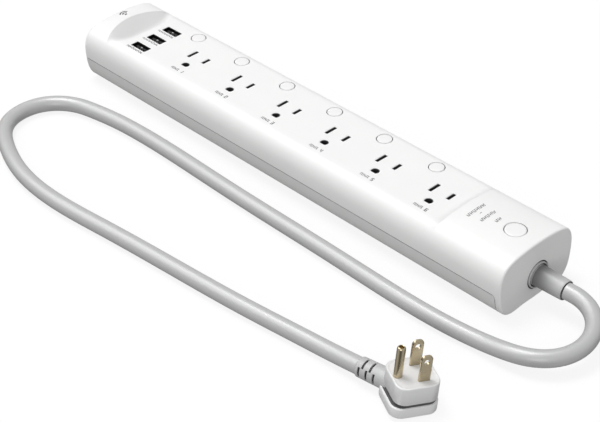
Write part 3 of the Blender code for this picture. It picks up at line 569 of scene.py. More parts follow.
def bump(tree, height, strength, distance):
    """Surface directions of a bumpy surface."""
    values = {"Height": height, "Strength": strength, "Distance": distance}
    return add_node(tree, "ShaderNodeBump", values).outputs["Normal"]


def new_material(name, colour):
    """A new material, its node tree and its shader."""
    made = bpy.data.materials.new(name)
    made.use_nodes = True
    made.diffuse_color = (*colour, 1.0)
    return made, made.node_tree, made.node_tree.nodes["Principled BSDF"]


def plastic(name, colour, roughness, grain=0.02, grain_scale=2200.0, specular=0.5):
    """Moulded plastic: faint mottling in the colour and the gloss, and a fine moulded grain."""
    made, tree, shader = new_material(name, colour)
    place = coordinates(tree, "Object")
    mottle = noise(tree, place, MOTTLE_SCALE, 4.0)
    tints = [[c * (1.0 + change) for c in colour] for change in (-MOTTLE_TINT, MOTTLE_TINT)]
    set_inputs(tree, shader, {
        "Specular IOR Level": specular,
        "Base Color": mix_colours(tree, mottle, (*tints[0], 1.0), (*tints[1], 1.0)),
        "Roughness": remap(tree, mottle, (0.0, 1.0), (roughness * 0.9, roughness * 1.1)),
        "Normal": bump(tree, noise(tree, place, grain_scale), grain, GRAIN_DEPTH),
    })
    return made


def metal(name, colour, roughness, brushed=(1.0, 1.0, 1.0)):
    """Bare metal with drawn streaks along one direction and a slight cloudy tarnish."""
    made, tree, shader = new_material(name, colour)
    place = coordinates(tree, "Object")
    stretch = add_node(tree, "ShaderNodeMapping", {"Vector": place, "Scale": brushed})
    streaks = noise(tree, stretch.outputs["Vector"], STREAK_SCALE, 3.0)
    tarnished = [c * (1.0 - TARNISH) for c in colour]
    set_inputs(tree, shader, {
        "Metallic": 1.0,
        "Base Color": mix_colours(tree, noise(tree, place, CLOUD_SCALE), (*tarnished, 1.0), (*colour, 1.0)),
        "Roughness": remap(tree, streaks, (0.0, 1.0), (roughness * 0.75, roughness * 1.35)),
        "Normal": bump(tree, streaks, STREAK_BUMP, STREAK_DEPTH),
    })
    return made


def paint_shade(made, mask, grey):
    """Paint shade into a material: multiply its colour by a grey where the mask is 1."""
    tree = made.node_tree
    shader = tree.nodes["Principled BSDF"]
    own = shader.inputs["Base Color"].links[0].from_socket
    mixed = mix_colours(tree, mask, own, (grey, grey, grey, 1.0), "MULTIPLY")
    set_inputs(tree, shader, {"Base Color": mixed})
    return made


def paint_crescent_shade(made):
    """Grey the upper plastic's colour as painted shade: on the crescent, crisp at its upper edge, and on the
    deck by the step.
    """
    tree = made.node_tree
    axes = axes_of(tree, "Object")

    def fade(value, start, end):
        return remap(tree, value, (start * MM, end * MM), (0.0, 1.0), "SMOOTHSTEP")

    def times(first, second):
        return calculate(tree, "MULTIPLY", first, second)

    def minus(first, second):
        return calculate(tree, "SUBTRACT", first, second)

    across = calculate(tree, "DIVIDE", axes["Y"], SHOULDER_Y * MM)
    squared = times(across, across)
    below_top = minus(minus(axes["X"], SLOPE_TOP_X * MM), times(squared, SLOPE_BOW * MM))
    above_foot = minus(minus(SLOPE_FOOT_X * MM, axes["X"]), times(times(squared, squared), SLOPE_BOW * MM))
    crescent = times(fade(below_top, 0.0, CRESCENT_EDGE), fade(above_foot, 0.0, CRESCENT_FADE))
    near_step = fade(axes["X"], STEP_X - STEP_SHADE_REACH, STEP_X)
    below_step = calculate(tree, "LESS_THAN", axes["X"], (STEP_X - STEP_SHADE_STOP) * MM)
    step = times(times(near_step, below_step), STEP_SHADE / CRESCENT_SHADE)
    mask = times(calculate(tree, "ADD", crescent, step), fade(axes["Z"], *SHADED_FROM_Z))
    return paint_shade(made, mask, 1.0 - CRESCENT_SHADE)


def paint_boot_root_shade(made):
    """Paint shade into the boot's sleeve colour, dark at its root and fading to its own grey at its mouth,
    along its own Z.
    """
    tree = made.node_tree
    along = axes_of(tree, "Object")["Z"]
    start, end = BOOT_FADE_START * MM, (BOOT_END_X - HALF_LENGTH) * MM
    fade = remap(tree, along, (start, end), (BOOT_ROOT_SHADE, 0.0), "SMOOTHSTEP")
    past_ring = calculate(tree, "GREATER_THAN", along, start)
    return paint_shade(made, calculate(tree, "MULTIPLY", fade, past_ring), BOOT_ROOT_SHADE_GREY)


def floor_material():
    """A plain pale surface that glows a little, which keeps the shadows on it faint."""
    colour = (FLOOR_GREY, FLOOR_GREY, FLOOR_GREY)
    made, tree, shader = new_material("pale_floor", colour)
    set_inputs(tree, shader, {
        "Base Color": (*colour, 1.0), "Roughness": 0.9, "Specular IOR Level": 0.0,
        "Emission Color": (1.0, 1.0, 1.0, 1.0), "Emission Strength": FLOOR_GLOW,
    })
    return made


# ---- camera, light and floor

def make_camera():
    """The photograph's view of the strip."""
    data = bpy.data.cameras.new("camera")
    data.lens = CAMERA_LENS
    data.clip_start = 0.05
    camera = link(bpy.data.objects.new("camera", data))
    camera.location = CAMERA_PLACE
    camera.rotation_euler = [math.radians(angle) for angle in CAMERA_TURN]
    bpy.context.scene.camera = camera


def make_area_light(name, place, size, power):
    """A square soft light at place, in metres, turned towards the strip."""
    data = bpy.data.lights.new(name, "AREA")
    data.shape = "SQUARE"
    data.size = size
    data.energy = power
    light = link(bpy.data.objects.new(name, data))
    light.location = place
    light.rotation_euler = (-Vector(place)).to_track_quat("-Z", "Y").to_euler()
    return light


def studio_world():
    """An even sky over a dimmer ground, whose bands by compass direction show as stripes on upright metal."""
    world = bpy.data.worlds.new("studio")
    world.use_nodes = True
    tree = world.node_tree
    axes = axes_of(tree, "Generated")
    compass = calculate(tree, "ARCTAN2", axes["Y"], axes["X"])
    wave = calculate(tree, "COSINE", calculate(tree, "MULTIPLY", compass, BAND_COUNT))
    bands = calculate(tree, "MULTIPLY", wave, GROUND_BANDS * GROUND_GLOW)
    ground = calculate(tree, "ADD", bands, GROUND_GLOW)
    glow = remap(tree, axes["Z"], (-HORIZON, HORIZON), (ground, SKY_GLOW))
    set_inputs(tree, tree.nodes["Background"], {"Strength": glow, "Color": (1.0, 1.0, 1.0, 1.0)})
    return world


def make_studio():
    """Pale floor, sky, a soft key light overhead, a weak fill from the front and a sheen on glossy things."""
    scene = bpy.context.scene
    scene.view_settings.view_transform = "Standard"
    scene.world = studio_world()
    make_area_light("key_light", *KEY_LIGHT)
    make_area_light("fill_light", *FILL_LIGHT)
    sheen = make_area_light("sheen_light", *SHEEN_LIGHT)
    sheen.visible_diffuse = False
    bm = bmesh.new()
    signs = ((-1, -1), (1, -1), (1, 1), (-1, 1))
    bm.faces.new([bm.verts.new((FLOOR_REACH * sx, FLOOR_REACH * sy, 0.0)) for sx, sy in signs])
    floor = finish_mesh(bm, "floor", floor_material())
    floor.visible_diffuse = False
    floor.visible_glossy = False


# ---- housing

def section(inset=0.0):
    """The closed cross-section as (y, z) points, moved inwards by inset."""
    half = even_line(HALF_SECTION, SECTION_POINTS)
    moved = []
    for i, (y, z) in enumerate(half):
        ahead = Vector(half[min(i + 1, len(half) - 1)])
        behind = Vector(half[max(i - 1, 0)])
        along = (ahead - behind).normalized()
        moved.append((max(0.0, y - inset * along.y), z + inset * along.x))
    moved[0] = (0.0, half[0][1] + inset)
    moved[-1] = (0.0, half[-1][1] - inset)
    return moved + [(-y, z) for y, z in reversed(moved[1:-1])]


def soft_min(a, b, blend):
    """The smaller of two heights, with a rounded change between them."""
    mix = max(0.0, min(1.0, 0.5 + 0.5 * (b - a) / blend))
    return b + (a - b) * mix - blend * mix * (1.0 - mix)


def slope_top(y):
    """X of the crescent's upper edge."""
    return SLOPE_TOP_X + SLOPE_BOW * (min(y, SHOULDER_Y) / SHOULDER_Y) ** 2


def slope_foot(y):
    """X of the crescent's lower edge."""
    return SLOPE_FOOT_X - SLOPE_BOW * (min(y, SHOULDER_Y) / SHOULDER_Y) ** 4


def scoop(y, depth):
    """How far the crescent's hollow dips below the deck at a distance y from the middle."""
    return depth * max(0.0, 1.0 - (y / SHOULDER_Y) ** 2)


def crown_height(y):
    """Height of the full section at a distance y from the middle."""
    upper = sorted((py, pz) for py, pz in section() if pz > TOP_FROM_Z and py >= 0.0)
    return float(np.interp(abs(y), *zip(*upper)))


def outer_rings():
    """Rings of the housing's outer shape, from the USB end to the cord end."""
    def ring(x_of, drop, inset=0.0, dip=0.0):
        points = []
        for y, z in section(inset):
            if z > TOP_FROM_Z:
                z += drop * (soft_min(z, DECK_Z, DECK_BLEND) - z)
                z -= scoop(abs(y), dip)
            points.append((x_of(abs(y)), y, z))
        return points

    def level(x):
        return lambda y: x

    def slope(t):
        return lambda y: slope_top(y) + t * (slope_foot(y) - slope_top(y))

    def rounded_end(sign):
        radius = END_ROUNDING[sign]
        return [ring(level(sign * (HALF_LENGTH - radius + out)), 0.0, radius - up)
                for out, up in arc(radius, 0.0, QUARTER, 5)]

    rings = rounded_end(-1)
    rings.append(ring(slope(-0.02), 0.0))
    for t, drop, dip in CRESCENT_PROFILE:
        rings.append(ring(slope(t), drop, dip=dip * SCOOP_DEPTH))
    for x in DECK_RINGS_X:
        rings.append(ring(level(x), 1.0))
    for x, drop in STEP_PROFILE:
        rings.append(ring(level(STEP_X + x), drop))
    rings.append(ring(level(CROWN_RING_X), 0.0))
    rings += reversed(rounded_end(1))
    return rings


def cavity(floor, end_x):
    """The inside of the housing, with its floor at a given height."""
    inner = [(y, min(max(z, floor), DECK_UNDERSIDE)) for y, z in section(WALL)]
    return build("cavity_tool", [[[(x, y, z) for y, z in inner] for x in (-HALF_LENGTH + WALL, end_x)]])


def seam_block(clearance):
    """Everything below the seam, as wide as the strip, with its corner by the end cap rounded."""
    top, end = SEAM_Z - clearance, CAP_INNER_X - clearance
    far_end, below, beside = -2 * HALF_LENGTH, -10.0, 60.0
    middle = (end - SEAM_CORNER_RADIUS, top - SEAM_CORNER_RADIUS)
    corner = arc(SEAM_CORNER_RADIUS, 0.0, QUARTER, 8, middle)
    outline = [(far_end, below), (end, below), *corner, (far_end, top)]
    return build("seam_tool", [[[(x, y, z) for x, z in outline] for y in (-beside, beside)]])


def ground_outline(x, shrink=0.0):
    """The D-shaped ground hole."""
    radius = GROUND_HOLE_RADIUS - shrink
    start = math.asin((GROUND_HOLE_FLAT + shrink) / radius)
    return arc(radius, start, math.pi - start, 24, (x, GROUND_Y))


def slot_outline(x, length, shrink=0.0):
    """A blade slot, running along Y."""
    corner = max(0.12, SLOT_CORNER - shrink)
    return rounded_box(SLOT_WIDTH / 2 - shrink, length / 2 - shrink, corner, 3, (x, BLADE_Y))


def outlet_outlines(x, shrink=0.0):
    """The three holes of an outlet whose ground hole is at x."""
    return [slot_outline(x - HALF_BLADE_SPACING, NEUTRAL_SLOT_LENGTH, shrink),
            slot_outline(x + HALF_BLADE_SPACING, LINE_SLOT_LENGTH, shrink),
            ground_outline(x, shrink)]


def usb_outline(y, grow=0.0):
    """A USB mouth centred at y."""
    half_x, half_y, corner = USB_MOUTH
    return rounded_box(half_x + grow, half_y + grow, corner, 3, (USB_X, y))


def hole(tight, wide, lead):
    """A hole down through the top from its chamfer at the deck."""
    return stack([(tight, TOOL_LOW_Z), (tight, DECK_Z - lead), (wide, DECK_Z), (wide, DECK_Z + TOOL_MARGIN)])


def upper_hole_tool():
    """Every hole through the top."""
    solids = []
    for x, button_x in zip(OUTLETS_X, BUTTONS_X):
        for tight, wide in zip(outlet_outlines(x), outlet_outlines(x, -LEAD_IN)):
            solids.append(hole(tight, wide, LEAD_IN))
        tight, wide = [circle(radius, 56, (button_x, BUTTON_Y))
                       for radius in (BUTTON_HOLE_RADIUS, BUTTON_HOLE_RADIUS + BUTTON_LEAD_IN)]
        solids.append(hole(tight, wide, BUTTON_LEAD_IN))
    solids += [hole(usb_outline(y), usb_outline(y, LEAD_IN), LEAD_IN) for y in USB_PORTS_Y]
    solids.append(prism(circle(RESET_HOLE_RADIUS, 64, (RESET_X, 0.0)), TOOL_LOW_Z, CROWN_Z + TOOL_MARGIN))
    return build("upper_hole_tool", solids)


def boot_hole_tool():
    """The round hole for the cord's boot in the end cap."""
    made = build("boot_hole_tool", [turned(BOOT_HOLE, 64)], None, BOOT_PLACE)
    made.rotation_euler = LYING
    return made


def make_upper_housing(finish):
    """Top shell with the cord-end cap and its holes."""
    shell = build("top_shell", [outer_rings()], finish)
    for tool in (cavity(-5.0, CAP_INNER_X), seam_block(0.0), upper_hole_tool(), boot_hole_tool()):
        apply_boolean(shell, tool)
    smooth_shell(shell)
    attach(shell, BODY)
    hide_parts("upper_housing")


def keyhole_outline(x):
    """A wall-hanging hole: a round entry and a narrow slot towards the cord end."""
    narrow, wide, reach = 2.3, 4.75, 10.0
    start = math.asin(narrow / wide)
    return (arc(wide, start, 2.0 * math.pi - start, 32, (x, 0.0))
            + arc(narrow, -QUARTER, QUARTER, 12, (x + reach, 0.0)))


def lower_hole_tool():
    """Foot recesses, keyholes and screw holes in the bottom."""
    solids = [prism(rounded_box(*FOOT_RECESS, 6, (x, 0.0)), BELOW_Z, FOOT_RECESS_Z) for x in FEET_X]
    solids += [prism(keyhole_outline(x), BELOW_Z, FLOOR_TOP + 1.0) for x in KEYHOLES_X]
    solids += [turned(SCREW_HOLE, 32, centre) for centre in SCREWS]
    return build("lower_hole_tool", solids)


def lower_boss_tool():
    """Screw tubes on the floor."""
    low, high = FLOOR_TOP - 1.0, SEAM_Z - SEAM_GAP
    return build("lower_boss_tool", [prism(circle(SCREW_TUBE_RADIUS, 32, at), low, high) for at in SCREWS])


def make_lower_housing(finish):
    """Bottom tray below the seam."""
    shell = build("bottom_shell", [outer_rings()], finish)
    apply_boolean(shell, cavity(FLOOR_TOP, HALF_LENGTH + 5.0))
    apply_boolean(shell, seam_block(SEAM_GAP), "INTERSECT")
    apply_boolean(shell, lower_boss_tool(), "UNION")
    apply_boolean(shell, lower_hole_tool())
    smooth_shell(shell)
    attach(shell, BODY)
    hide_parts("lower_housing")


def make_seam_shadow(finish):
    """Dark bands just inside the seam and the end cap's joint: painted shadow, so that the gaps read as
    shadow lines.
    """
    inset, depth, reach, corner = 0.2, 1.2, 0.9, 3.2
    half_width = max(y for y, z in section() if abs(z - SEAM_Z) < 2.0) - inset
    start = -HALF_LENGTH + inset

    def plan(shrink):
        half_x = (CAP_INNER_X - start) / 2 - shrink
        middle = ((CAP_INNER_X + start) / 2, 0.0)
        return rounded_box(half_x, half_width - shrink, corner - shrink, 5, middle)

    bm = bmesh.new()
    outer, inner = plan(0.0), plan(depth)
    low, high = SEAM_Z - SEAM_GAP - reach, SEAM_Z + reach
    add_loft(bm, stack([(outer, low), (outer, high), (inner, high), (inner, low)]), closed=True)
    outline = []
    for shrink, order in ((inset, 1), (inset + depth, -1)):
        arch = [(y, z) for y, z in section(shrink) if z < SEAM_Z - 1.5]
        arch.sort(key=lambda point: math.atan2(point[0], SEAM_Z - point[1]))
        outline += arch[::order]
    add_loft(bm, [[(CAP_INNER_X + x, y, z) for y, z in outline] for x in (-1.2, 0.6)])
    shadow_band = finish_mesh(bm, "seam_shadow_band", finish)
    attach(shadow_band, BODY)


def flange_and_stem(radius, flange, stem):
    """The lower part of a button as (radius, z) points, from the cap's own radius downwards."""
    top = DECK_UNDERSIDE - SEAM_GAP
    low = top - flange[1]
    return [(radius, top), (flange[0], top), (flange[0], low), (stem[0], low), stem]


def make_buttons(finish):
    """Finely turned button caps on their own bodies, each with a soft edge and a stem."""
    edge_middle = (BUTTON_RADIUS - BUTTON_EDGE, BUTTON_PROUD - BUTTON_EDGE)
    profile = arc(BUTTON_EDGE, QUARTER, 0.0, 5, edge_middle)
    profile += [(r, z - DECK_Z) for r, z in flange_and_stem(BUTTON_RADIUS, BUTTON_FLANGE, BUTTON_STEM)]
    for number, x in enumerate(BUTTONS_X, 1):
        name = f"outlet_button_{number}"
        cap = build(f"button_cap_{number}", [turned(profile, 56)], finish, (x, BUTTON_Y, DECK_Z), 40.0)
        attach(cap, name)
        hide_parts(name)


def make_reset_button(finish):
    """The larger button, whose top follows the crown."""
    rings = []
    for inset, lift in RESET_TOP:
        outline = circle(RESET_RADIUS - inset, 64)
        rings.append([(x, y, crown_height(y) + lift - CROWN_Z) for x, y in outline])
    lower = flange_and_stem(RESET_RADIUS, RESET_FLANGE, RESET_STEM)
    rings += turned([(radius, z - CROWN_Z) for radius, z in lower], 64)
    cap = build("reset_cap", [rings], finish, (RESET_X, 0.0, CROWN_Z), 40.0)
    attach(cap, "reset_button")
    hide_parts("reset_button")


def make_gap_shadows(finish):
    """Dark rings a little below the top: painted shadow, so that the gaps round the buttons read as shadow
    lines.
    """
    from_cap, from_hole, high, low = GAP_SHADOW_RINGS
    gaps = [((x, BUTTON_Y), BUTTON_RADIUS, BUTTON_HOLE_RADIUS, DECK_Z) for x in BUTTONS_X]
    gaps.append(((RESET_X, 0.0), RESET_RADIUS, RESET_HOLE_RADIUS, CROWN_Z - 0.3))
    solids = []
    for centre, cap, hole_radius, top in gaps:
        inner, outer = cap + from_cap, hole_radius - from_hole
        profile = [(inner, top - high), (outer, top - high), (outer, top - low), (inner, top - low)]
        solids.append(turned(profile, 56, centre))
    shadow_rings = build("gap_shadow_rings", solids, finish, closed=True)
    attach(shadow_rings, BODY)


# ---- sockets and ports

def outlet_tool(x, shrink, low, high):
    """Prisms in the three holes of an outlet."""
    return build("outlet_tool", [prism(outline, low, high) for outline in outlet_outlines(x, shrink)])


def make_socket_inserts(finish):
    """Black inserts behind the deck, whose spigots line the holes of each outlet."""
    low, high = DECK_UNDERSIDE - 1.8, DECK_UNDERSIDE - 0.1
    spigot_top = DECK_Z - 0.4
    for number, x in enumerate(OUTLETS_X, 1):
        plate = prism(rounded_box(*INSERT_HALF, INSERT_CORNER, 5, (x, INSERT_Y)), low, high)
        insert = build(f"socket_insert_{number}", [plate], finish)
        apply_boolean(insert, outlet_tool(x, SPIGOT_SHRINK, low + 0.5, spigot_top), "UNION")
        apply_boolean(insert, outlet_tool(x, PASSAGE_SHRINK, low - 2.0, DECK_Z + 2.0))
        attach(insert, BODY)


def make_usb_ports(steel, black, contact):
    """Three ports: a thin shell, a black tongue along its far side, contacts and a bright latch on it."""
    for number, y in enumerate(USB_PORTS_Y, 1):
        outer, inner = [rounded_box(*box, 3, (USB_X, y)) for box in (PORT_OUTER, PORT_INNER)]
        sleeve = stack([(outer, PORT_BOTTOM), (outer, PORT_TOP), (inner, PORT_TOP), (inner, PORT_FLOOR)])
        shell = build(f"port_shell_{number}", [sleeve], steel)
        low = y + TONGUE_SHIFT
        tab = prism(rounded_box(*TONGUE, 3, (USB_X, low + TONGUE[1])), PORT_FLOOR, TONGUE_TOP)
        tongue = build(f"port_tongue_{number}", [tab], black)
        strips = [rounded_box(*CONTACT, 1, (USB_X + place, low - 0.08)) for place in CONTACTS_X]
        solids = [prism(strip, PORT_BOTTOM + 2.0, TONGUE_TOP - 0.4) for strip in strips]
        latch = rounded_box(*LATCH, 3, (USB_X, low + 0.5))
        solids.append(prism(latch, TONGUE_TOP - 0.05, TONGUE_TOP + 0.8))
        leaves = build(f"port_contacts_{number}", solids, contact)
        for made in (shell, tongue, leaves):
            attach(made, BODY)
        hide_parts(f"usb_shell_{number}")
        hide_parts(f"usb_tongue_{number}")


# ---- printed marks

def add_stroke(bm, start, end, width):
    """A straight printed stroke on the top, as a thin film that follows its height."""
    start, end = Vector(start), Vector(end)
    along = (end - start).normalized() * width / 2
    side = Vector((-along.y, along.x))
    corners = [start - along - side, end + along - side, end + along + side, start - along + side]
    low = [(x, y, top_height(x, y) + PRINT_LIFT) for x, y in corners]
    add_loft(bm, [low, [(x, y, z + PRINT_THICKNESS) for x, y, z in low]])


def add_digit(bm, digit, centre):
    """A numeral made of straight strokes, upright towards +Y."""
    half_x, half_y = DIGIT_HEIGHT * 0.26, DIGIT_HEIGHT / 2
    for stroke in DIGIT_STROKES[digit]:
        ends = []
        for corner in stroke.split("-"):
            up, side = [DIGIT_CORNERS[letter] for letter in corner]
            ends.append((centre[0] + half_x * side, centre[1] + half_y * up))
        add_stroke(bm, ends[0], ends[1], DIGIT_STROKE)


def add_ticks(bm, start, step, count, height, across, width):
    """A row of small angular signs that stands where fine print would be."""
    start, step, across = Vector(start), Vector(step), Vector(across)
    for i in range(count):
        middle = start + step * i
        reach = across * height * (0.5 if i % 3 else 0.38)
        add_stroke(bm, middle - reach, middle + reach, width)
        foot = middle + reach * (1, -1, 0, -1)[i % 4]
        add_stroke(bm, foot, foot + step * 0.45, width)


def top_height(x, y):
    """Height of the top surface: deck between the crescent and the step, crown beyond them."""
    if slope_foot(0.0) < x < STEP_X:
        return DECK_Z
    return crown_height(y)


def make_marks(ink):
    """Plain grey print: a numeral by each outlet, ticks by the ports and the reset button, and two arcs."""
    bm = bmesh.new()
    shift, step, count, height = OUTLET_TICKS
    for number, x in enumerate(OUTLETS_X, 1):
        add_ticks(bm, (x + shift, MARK_Y), (step, 0.0), count, height, (0.0, 1.0), FINE_STROKE)
        add_digit(bm, number, (x + DIGIT_SHIFT, MARK_Y))
    shift_x, shift_y, step, count, height = PORT_TICKS
    for y in USB_PORTS_Y:
        start = (USB_X + shift_x, y + shift_y)
        add_ticks(bm, start, (step, 0.0), count, height, (0.0, 1.0), FINE_STROKE)
    step, height, width = RESET_TICKS
    for x, low, count in RESET_ROWS:
        add_ticks(bm, (x, low), (0.0, step), count, height, (1.0, 0.0), width)
    add_stroke(bm, *RESET_DASH, FINE_STROKE)
    for radius in ARC_RADII:
        points = arc(radius, math.radians(230.0), math.radians(130.0), 5, ARC_CENTRE)
        for first, second in zip(points, points[1:]):
            add_stroke(bm, first, second, ARC_STROKE)
    add_stroke(bm, *DOT, DOT_STROKE)
    marks = finish_mesh(bm, "printed_marks", ink)
    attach(marks, BODY)


# ---- cord, boot and plug

def make_cord(finish):
    """The free mains cord, from the boot to the plug's strain relief."""
    points = even_line(CORD_ROUTE, CORD_POINTS)
    curve = bpy.data.curves.new("cord", "CURVE")
    curve.dimensions = "3D"
    curve.bevel_depth = CORD_RADIUS * MM
    curve.bevel_resolution = 14
    curve.use_fill_caps = True
    spline = curve.splines.new("POLY")
    spline.points.add(len(points) - 1)
    for target, point in zip(spline.points, points):
        target.co = (*(Vector(point) * MM), 1.0)
    curve.materials.append(finish)
    cord = link(bpy.data.objects.new("cord", curve))
    length = sum((Vector(b) - Vector(a)).length for a, b in zip(points, points[1:])) * MM
    return cord, length, Vector(points[0]) * MM


def make_boot(finish, dark):
    """The moulded boot: a collar in the end cap, a groove, and a tapered sleeve with a shallow mouth, with a
    dark disc behind them as painted shadow in the gaps.
    """
    profile = [(radius, x - HALF_LENGTH) for radius, x in BOOT_PROFILE]
    boot = build("boot", [turned(profile, 64)], finish, BOOT_PLACE, 30.0)
    shadow_fill = build("boot_shadow_fill", [turned(BOOT_SHADOW_FILL, 64)], dark, BOOT_PLACE)
    for made in (boot, shadow_fill):
        made.rotation_euler = LYING
        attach(made, BODY)
    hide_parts("cord_boot")
    return [boot, shadow_fill]


def on_plug(made):
    """Move a piece made in the plug's frame to its place and tilt."""
    turn = Euler([math.radians(angle) for angle in PLUG_TILT]).to_matrix().to_4x4()
    made.matrix_world = Matrix.Translation(Vector(PLUG_PLACE) * MM) @ turn @ made.matrix_world
    return made


def plug_outline(half, extra=0.0):
    """The plug body's outline in its own frame, longer by extra on the ground pin's side."""
    corner = PLUG_CORNER * half / PLUG_HALF
    return rounded_box(half, half + extra / 2, corner, 12, (0.0, -extra / 2))


def pocket_tool():
    """The pockets of the two blades and the ground pin in the plug's face."""
    half_x, half_y = PRONG_THICKNESS / 2 + PRONG_CLEARANCE, PRONG_WIDTH / 2 + PRONG_CLEARANCE
    outlines = [rounded_box(half_x, half_y, 0.2, 3, (x, PRONG_LINE_Y))
                for x in (-HALF_BLADE_SPACING, HALF_BLADE_SPACING)]
    outlines.append(circle(GROUND_PIN_RADIUS + PRONG_CLEARANCE, 40, (0.0, GROUND_PIN_Y)))
    low, high = PLUG_HEIGHT - PRONG_ROOT - 0.3, PLUG_HEIGHT + 5.0
    return build("pocket_tool", [prism(outline, low, high) for outline in outlines])


def make_plug(finish, groove):
    """Front block with a raised rim and rear cover behind a shadow groove, whose dark band is painted shadow.
    """
    layers = [(plug_outline(PLUG_REAR_HALF - inset, PLUG_REAR_EXTRA), z) for inset, z in PLUG_REAR_PROFILE]
    rear = on_plug(build("plug_back", [stack(layers)], finish, smooth_angle=PLUG_SMOOTH_ANGLE))
    layers = [(plug_outline(PLUG_HALF - inset), z) for inset, z in PLUG_FRONT_PROFILE]
    front = build("plug_body", [stack(layers)], finish)
    apply_boolean(front, pocket_tool())
    shade_by_angle(front, PLUG_SMOOTH_ANGLE)
    on_plug(front)
    band, core = plug_outline(PLUG_HALF - 0.65, PLUG_REAR_EXTRA), plug_outline(PLUG_HALF - 0.8)
    layers = [(band, PLUG_REAR_TOP - 0.2), (band, PLUG_REAR_TOP + 0.2), (core, PLUG_REAR_TOP + 0.25),
              (core, PLUG_FRONT_BOTTOM + 0.2)]
    shadow_fill = on_plug(build("plug_groove_shadow", [stack(layers)], groove))
    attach(shadow_fill, BODY)
    for made, node in ((rear, "plug_rear"), (front, "plug_front")):
        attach(made, BODY)
        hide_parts(node)
    return [rear, shadow_fill, front]


def slot_tool():
    """The rows of slots round the strain relief."""
    inner, outer = RELIEF_SLOT_RADII
    solids = []
    for row_angle, first, slots in RELIEF_ROWS:
        start = math.radians(row_angle - RELIEF_HALF_SPAN)
        end = math.radians(row_angle + RELIEF_HALF_SPAN)
        outline = arc(inner, start, end, 20) + arc(outer, end, start, 20)
        for index in range(slots):
            middle = first + RELIEF_SLOT_PITCH * index
            solids.append(prism(outline, middle - RELIEF_SLOT / 2, middle + RELIEF_SLOT / 2))
    return build("slot_tool", solids)


def make_relief(finish, dark):
    """The slotted sleeve between the cord and the plug, with a dark inside: a thin dark sleeve as painted
    shadow seen through the slots.
    """
    start, end = Vector(RELIEF_START), Vector(RELIEF_END)
    length = (end - start).length
    along = (end - start).normalized()
    across = along.cross(Vector((0.0, 0.0, 1.0))).normalized()
    turn = Matrix((across.cross(along), across, along)).transposed().to_euler()
    small, large = RELIEF_RADII
    profile = [(RELIEF_BORE, 0.0), (small - 0.3, 0.0), (small - 0.08, 0.1), (small, 0.35), (large, length)]
    sleeve = build("relief", [turned(profile, 64)], finish)
    apply_boolean(sleeve, slot_tool())
    small, large = RELIEF_SHADOW_RADII
    profile = [(small, 1.2), (large, 1.2), (large, length - 0.5), (small, length - 0.5)]
    inside = build("relief_shadow_sleeve", [turned(profile, 48)], dark)
    for made in (sleeve, inside):
        made.location = start * MM
        made.rotation_euler = turn
    body = prism(plug_outline(PLUG_HALF - 0.4), -10.0, PLUG_HEIGHT + 10.0)
    apply_boolean(sleeve, on_plug(build("plug_tool", [body])))
    shade_by_angle(sleeve, 40.0)
    for made in (sleeve, inside):
        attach(made, BODY)
    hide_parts("plug_strain_relief")
    return [sleeve, inside]


def blade_outline():
    """Front view of a flat blade (across, up), with rounded tip corners."""
    half, corner = PRONG_WIDTH / 2, BLADE_CORNER
    outline = [(-half, -PRONG_ROOT), (half, -PRONG_ROOT)]
    for start, side in ((0.0, 1), (QUARTER, -1)):
        middle = (side * (half - corner), PRONG_LENGTH - corner)
        outline += arc(corner, start, start + QUARTER, 8, middle)
    return outline


def moved_towards(value, middle, distance):
    """A value moved towards the middle, but not past it."""
    return value + math.copysign(min(distance, abs(middle - value)), middle - value)


def make_blade(name, node, side, finish):
    """A flat blade with bevelled edges and the usual hole near its tip."""
    x = side * HALF_BLADE_SPACING
    middle = (PRONG_LENGTH - PRONG_ROOT) / 2
    rings = []
    for shift, bevel in BLADE_LAYERS:
        rings.append([(x + shift, PRONG_LINE_Y + moved_towards(across, 0.0, bevel),
                       PLUG_HEIGHT + moved_towards(up, middle, bevel)) for across, up in blade_outline()])
    blade = build(name, [rings], finish)
    place = (x, PRONG_LINE_Y, PLUG_HEIGHT + PRONG_LENGTH - BLADE_HOLE_FROM_TIP)
    tool = build("hole_tool", [prism(circle(BLADE_HOLE_RADIUS, 32), -3.0, 3.0)], None, place)
    tool.rotation_euler = LYING
    apply_boolean(blade, tool)
    shade_by_angle(blade, 28.0)
    on_plug(blade)
    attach(blade, BODY)
    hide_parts(node)
    return blade


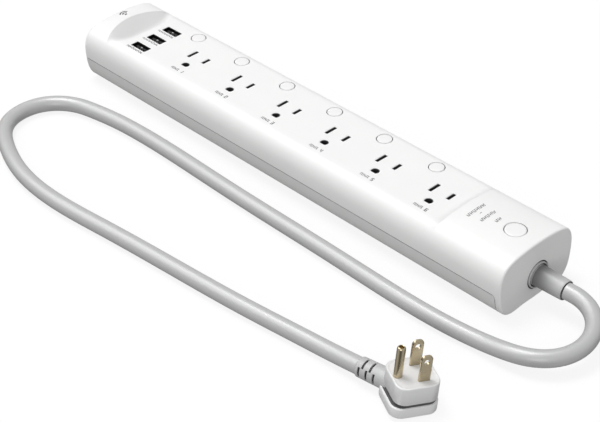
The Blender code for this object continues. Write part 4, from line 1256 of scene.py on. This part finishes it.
def make_ground_pin(finish):
    """The round ground pin, with a rounded hollow tip."""
    radius, tip = GROUND_PIN_RADIUS, PLUG_HEIGHT + GROUND_PIN_LENGTH
    profile = [(radius, PLUG_HEIGHT - PRONG_ROOT)]
    profile += [(fraction * radius, tip + past) for fraction, past in GROUND_PIN_TIP]
    solid = turned(profile, 40, (0.0, GROUND_PIN_Y))
    pin = on_plug(build("earth_pin", [solid], finish, smooth_angle=40.0))
    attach(pin, BODY)
    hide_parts("ground_pin")
    return pin


def make_cord_set(finishes):
    """The mains cord with everything on it: boot, strain relief, plug and prongs."""
    rubber, brass, dark = [finishes[name] for name in ("boot_rubber", "blade_brass", "black_plastic")]
    cord, length, exit_point = make_cord(finishes["cord_sheath"])
    # The boot gets its own copy of the rubber, with painted shade at its root
    boot = make_boot(paint_boot_root_shade(rubber.copy()), dark)
    relief = make_relief(rubber, dark)
    body = make_plug(finishes["plug_plastic"], finishes["painted_groove_shadow"])
    prongs = [make_blade("neutral_blade", "blade_neutral", -1, brass),
              make_blade("line_blade", "blade_line", 1, brass), make_ground_pin(brass)]
    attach(cord, BODY)
    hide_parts("mains_cord")


# ---- CAD nodes that stay as they are

def dress_frame(frame, finishes):
    """Give each CAD node that still shows the procedural material of its record slot."""
    slots = {entry["node"]: entry["material_slot"] for entry in frame["record"]["subparts"]}
    for node, made in frame["nodes"].items():
        made.data.materials.clear()
        made.data.materials.append(finishes[slots[node]])


def main():
    """Load the frame and build every visible piece."""
    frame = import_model()
    finishes = {name: plastic(name, *look) for name, look in PLASTICS.items()}
    finishes.update({name: metal(name, *look) for name, look in METALS.items()})
    # The top plastic carries painted shade on the crescent and at the step's foot
    finishes["upper_plastic"] = paint_crescent_shade(finishes["white_plastic"])
    dress_frame(frame, finishes)

    make_camera()
    make_cord_set(finishes)
    make_studio()
    make_upper_housing(finishes["upper_plastic"])
    make_lower_housing(finishes["lower_plastic"])
    make_seam_shadow(finishes["black_plastic"])
    make_buttons(finishes["button_plastic"])
    make_reset_button(finishes["button_plastic"])
    make_gap_shadows(finishes["painted_groove_shadow"])
    make_socket_inserts(finishes["insert_plastic"])
    make_usb_ports(finishes["port_steel"], finishes["black_plastic"], finishes["latch_steel"])
    make_marks(finishes["grey_ink"])


main()
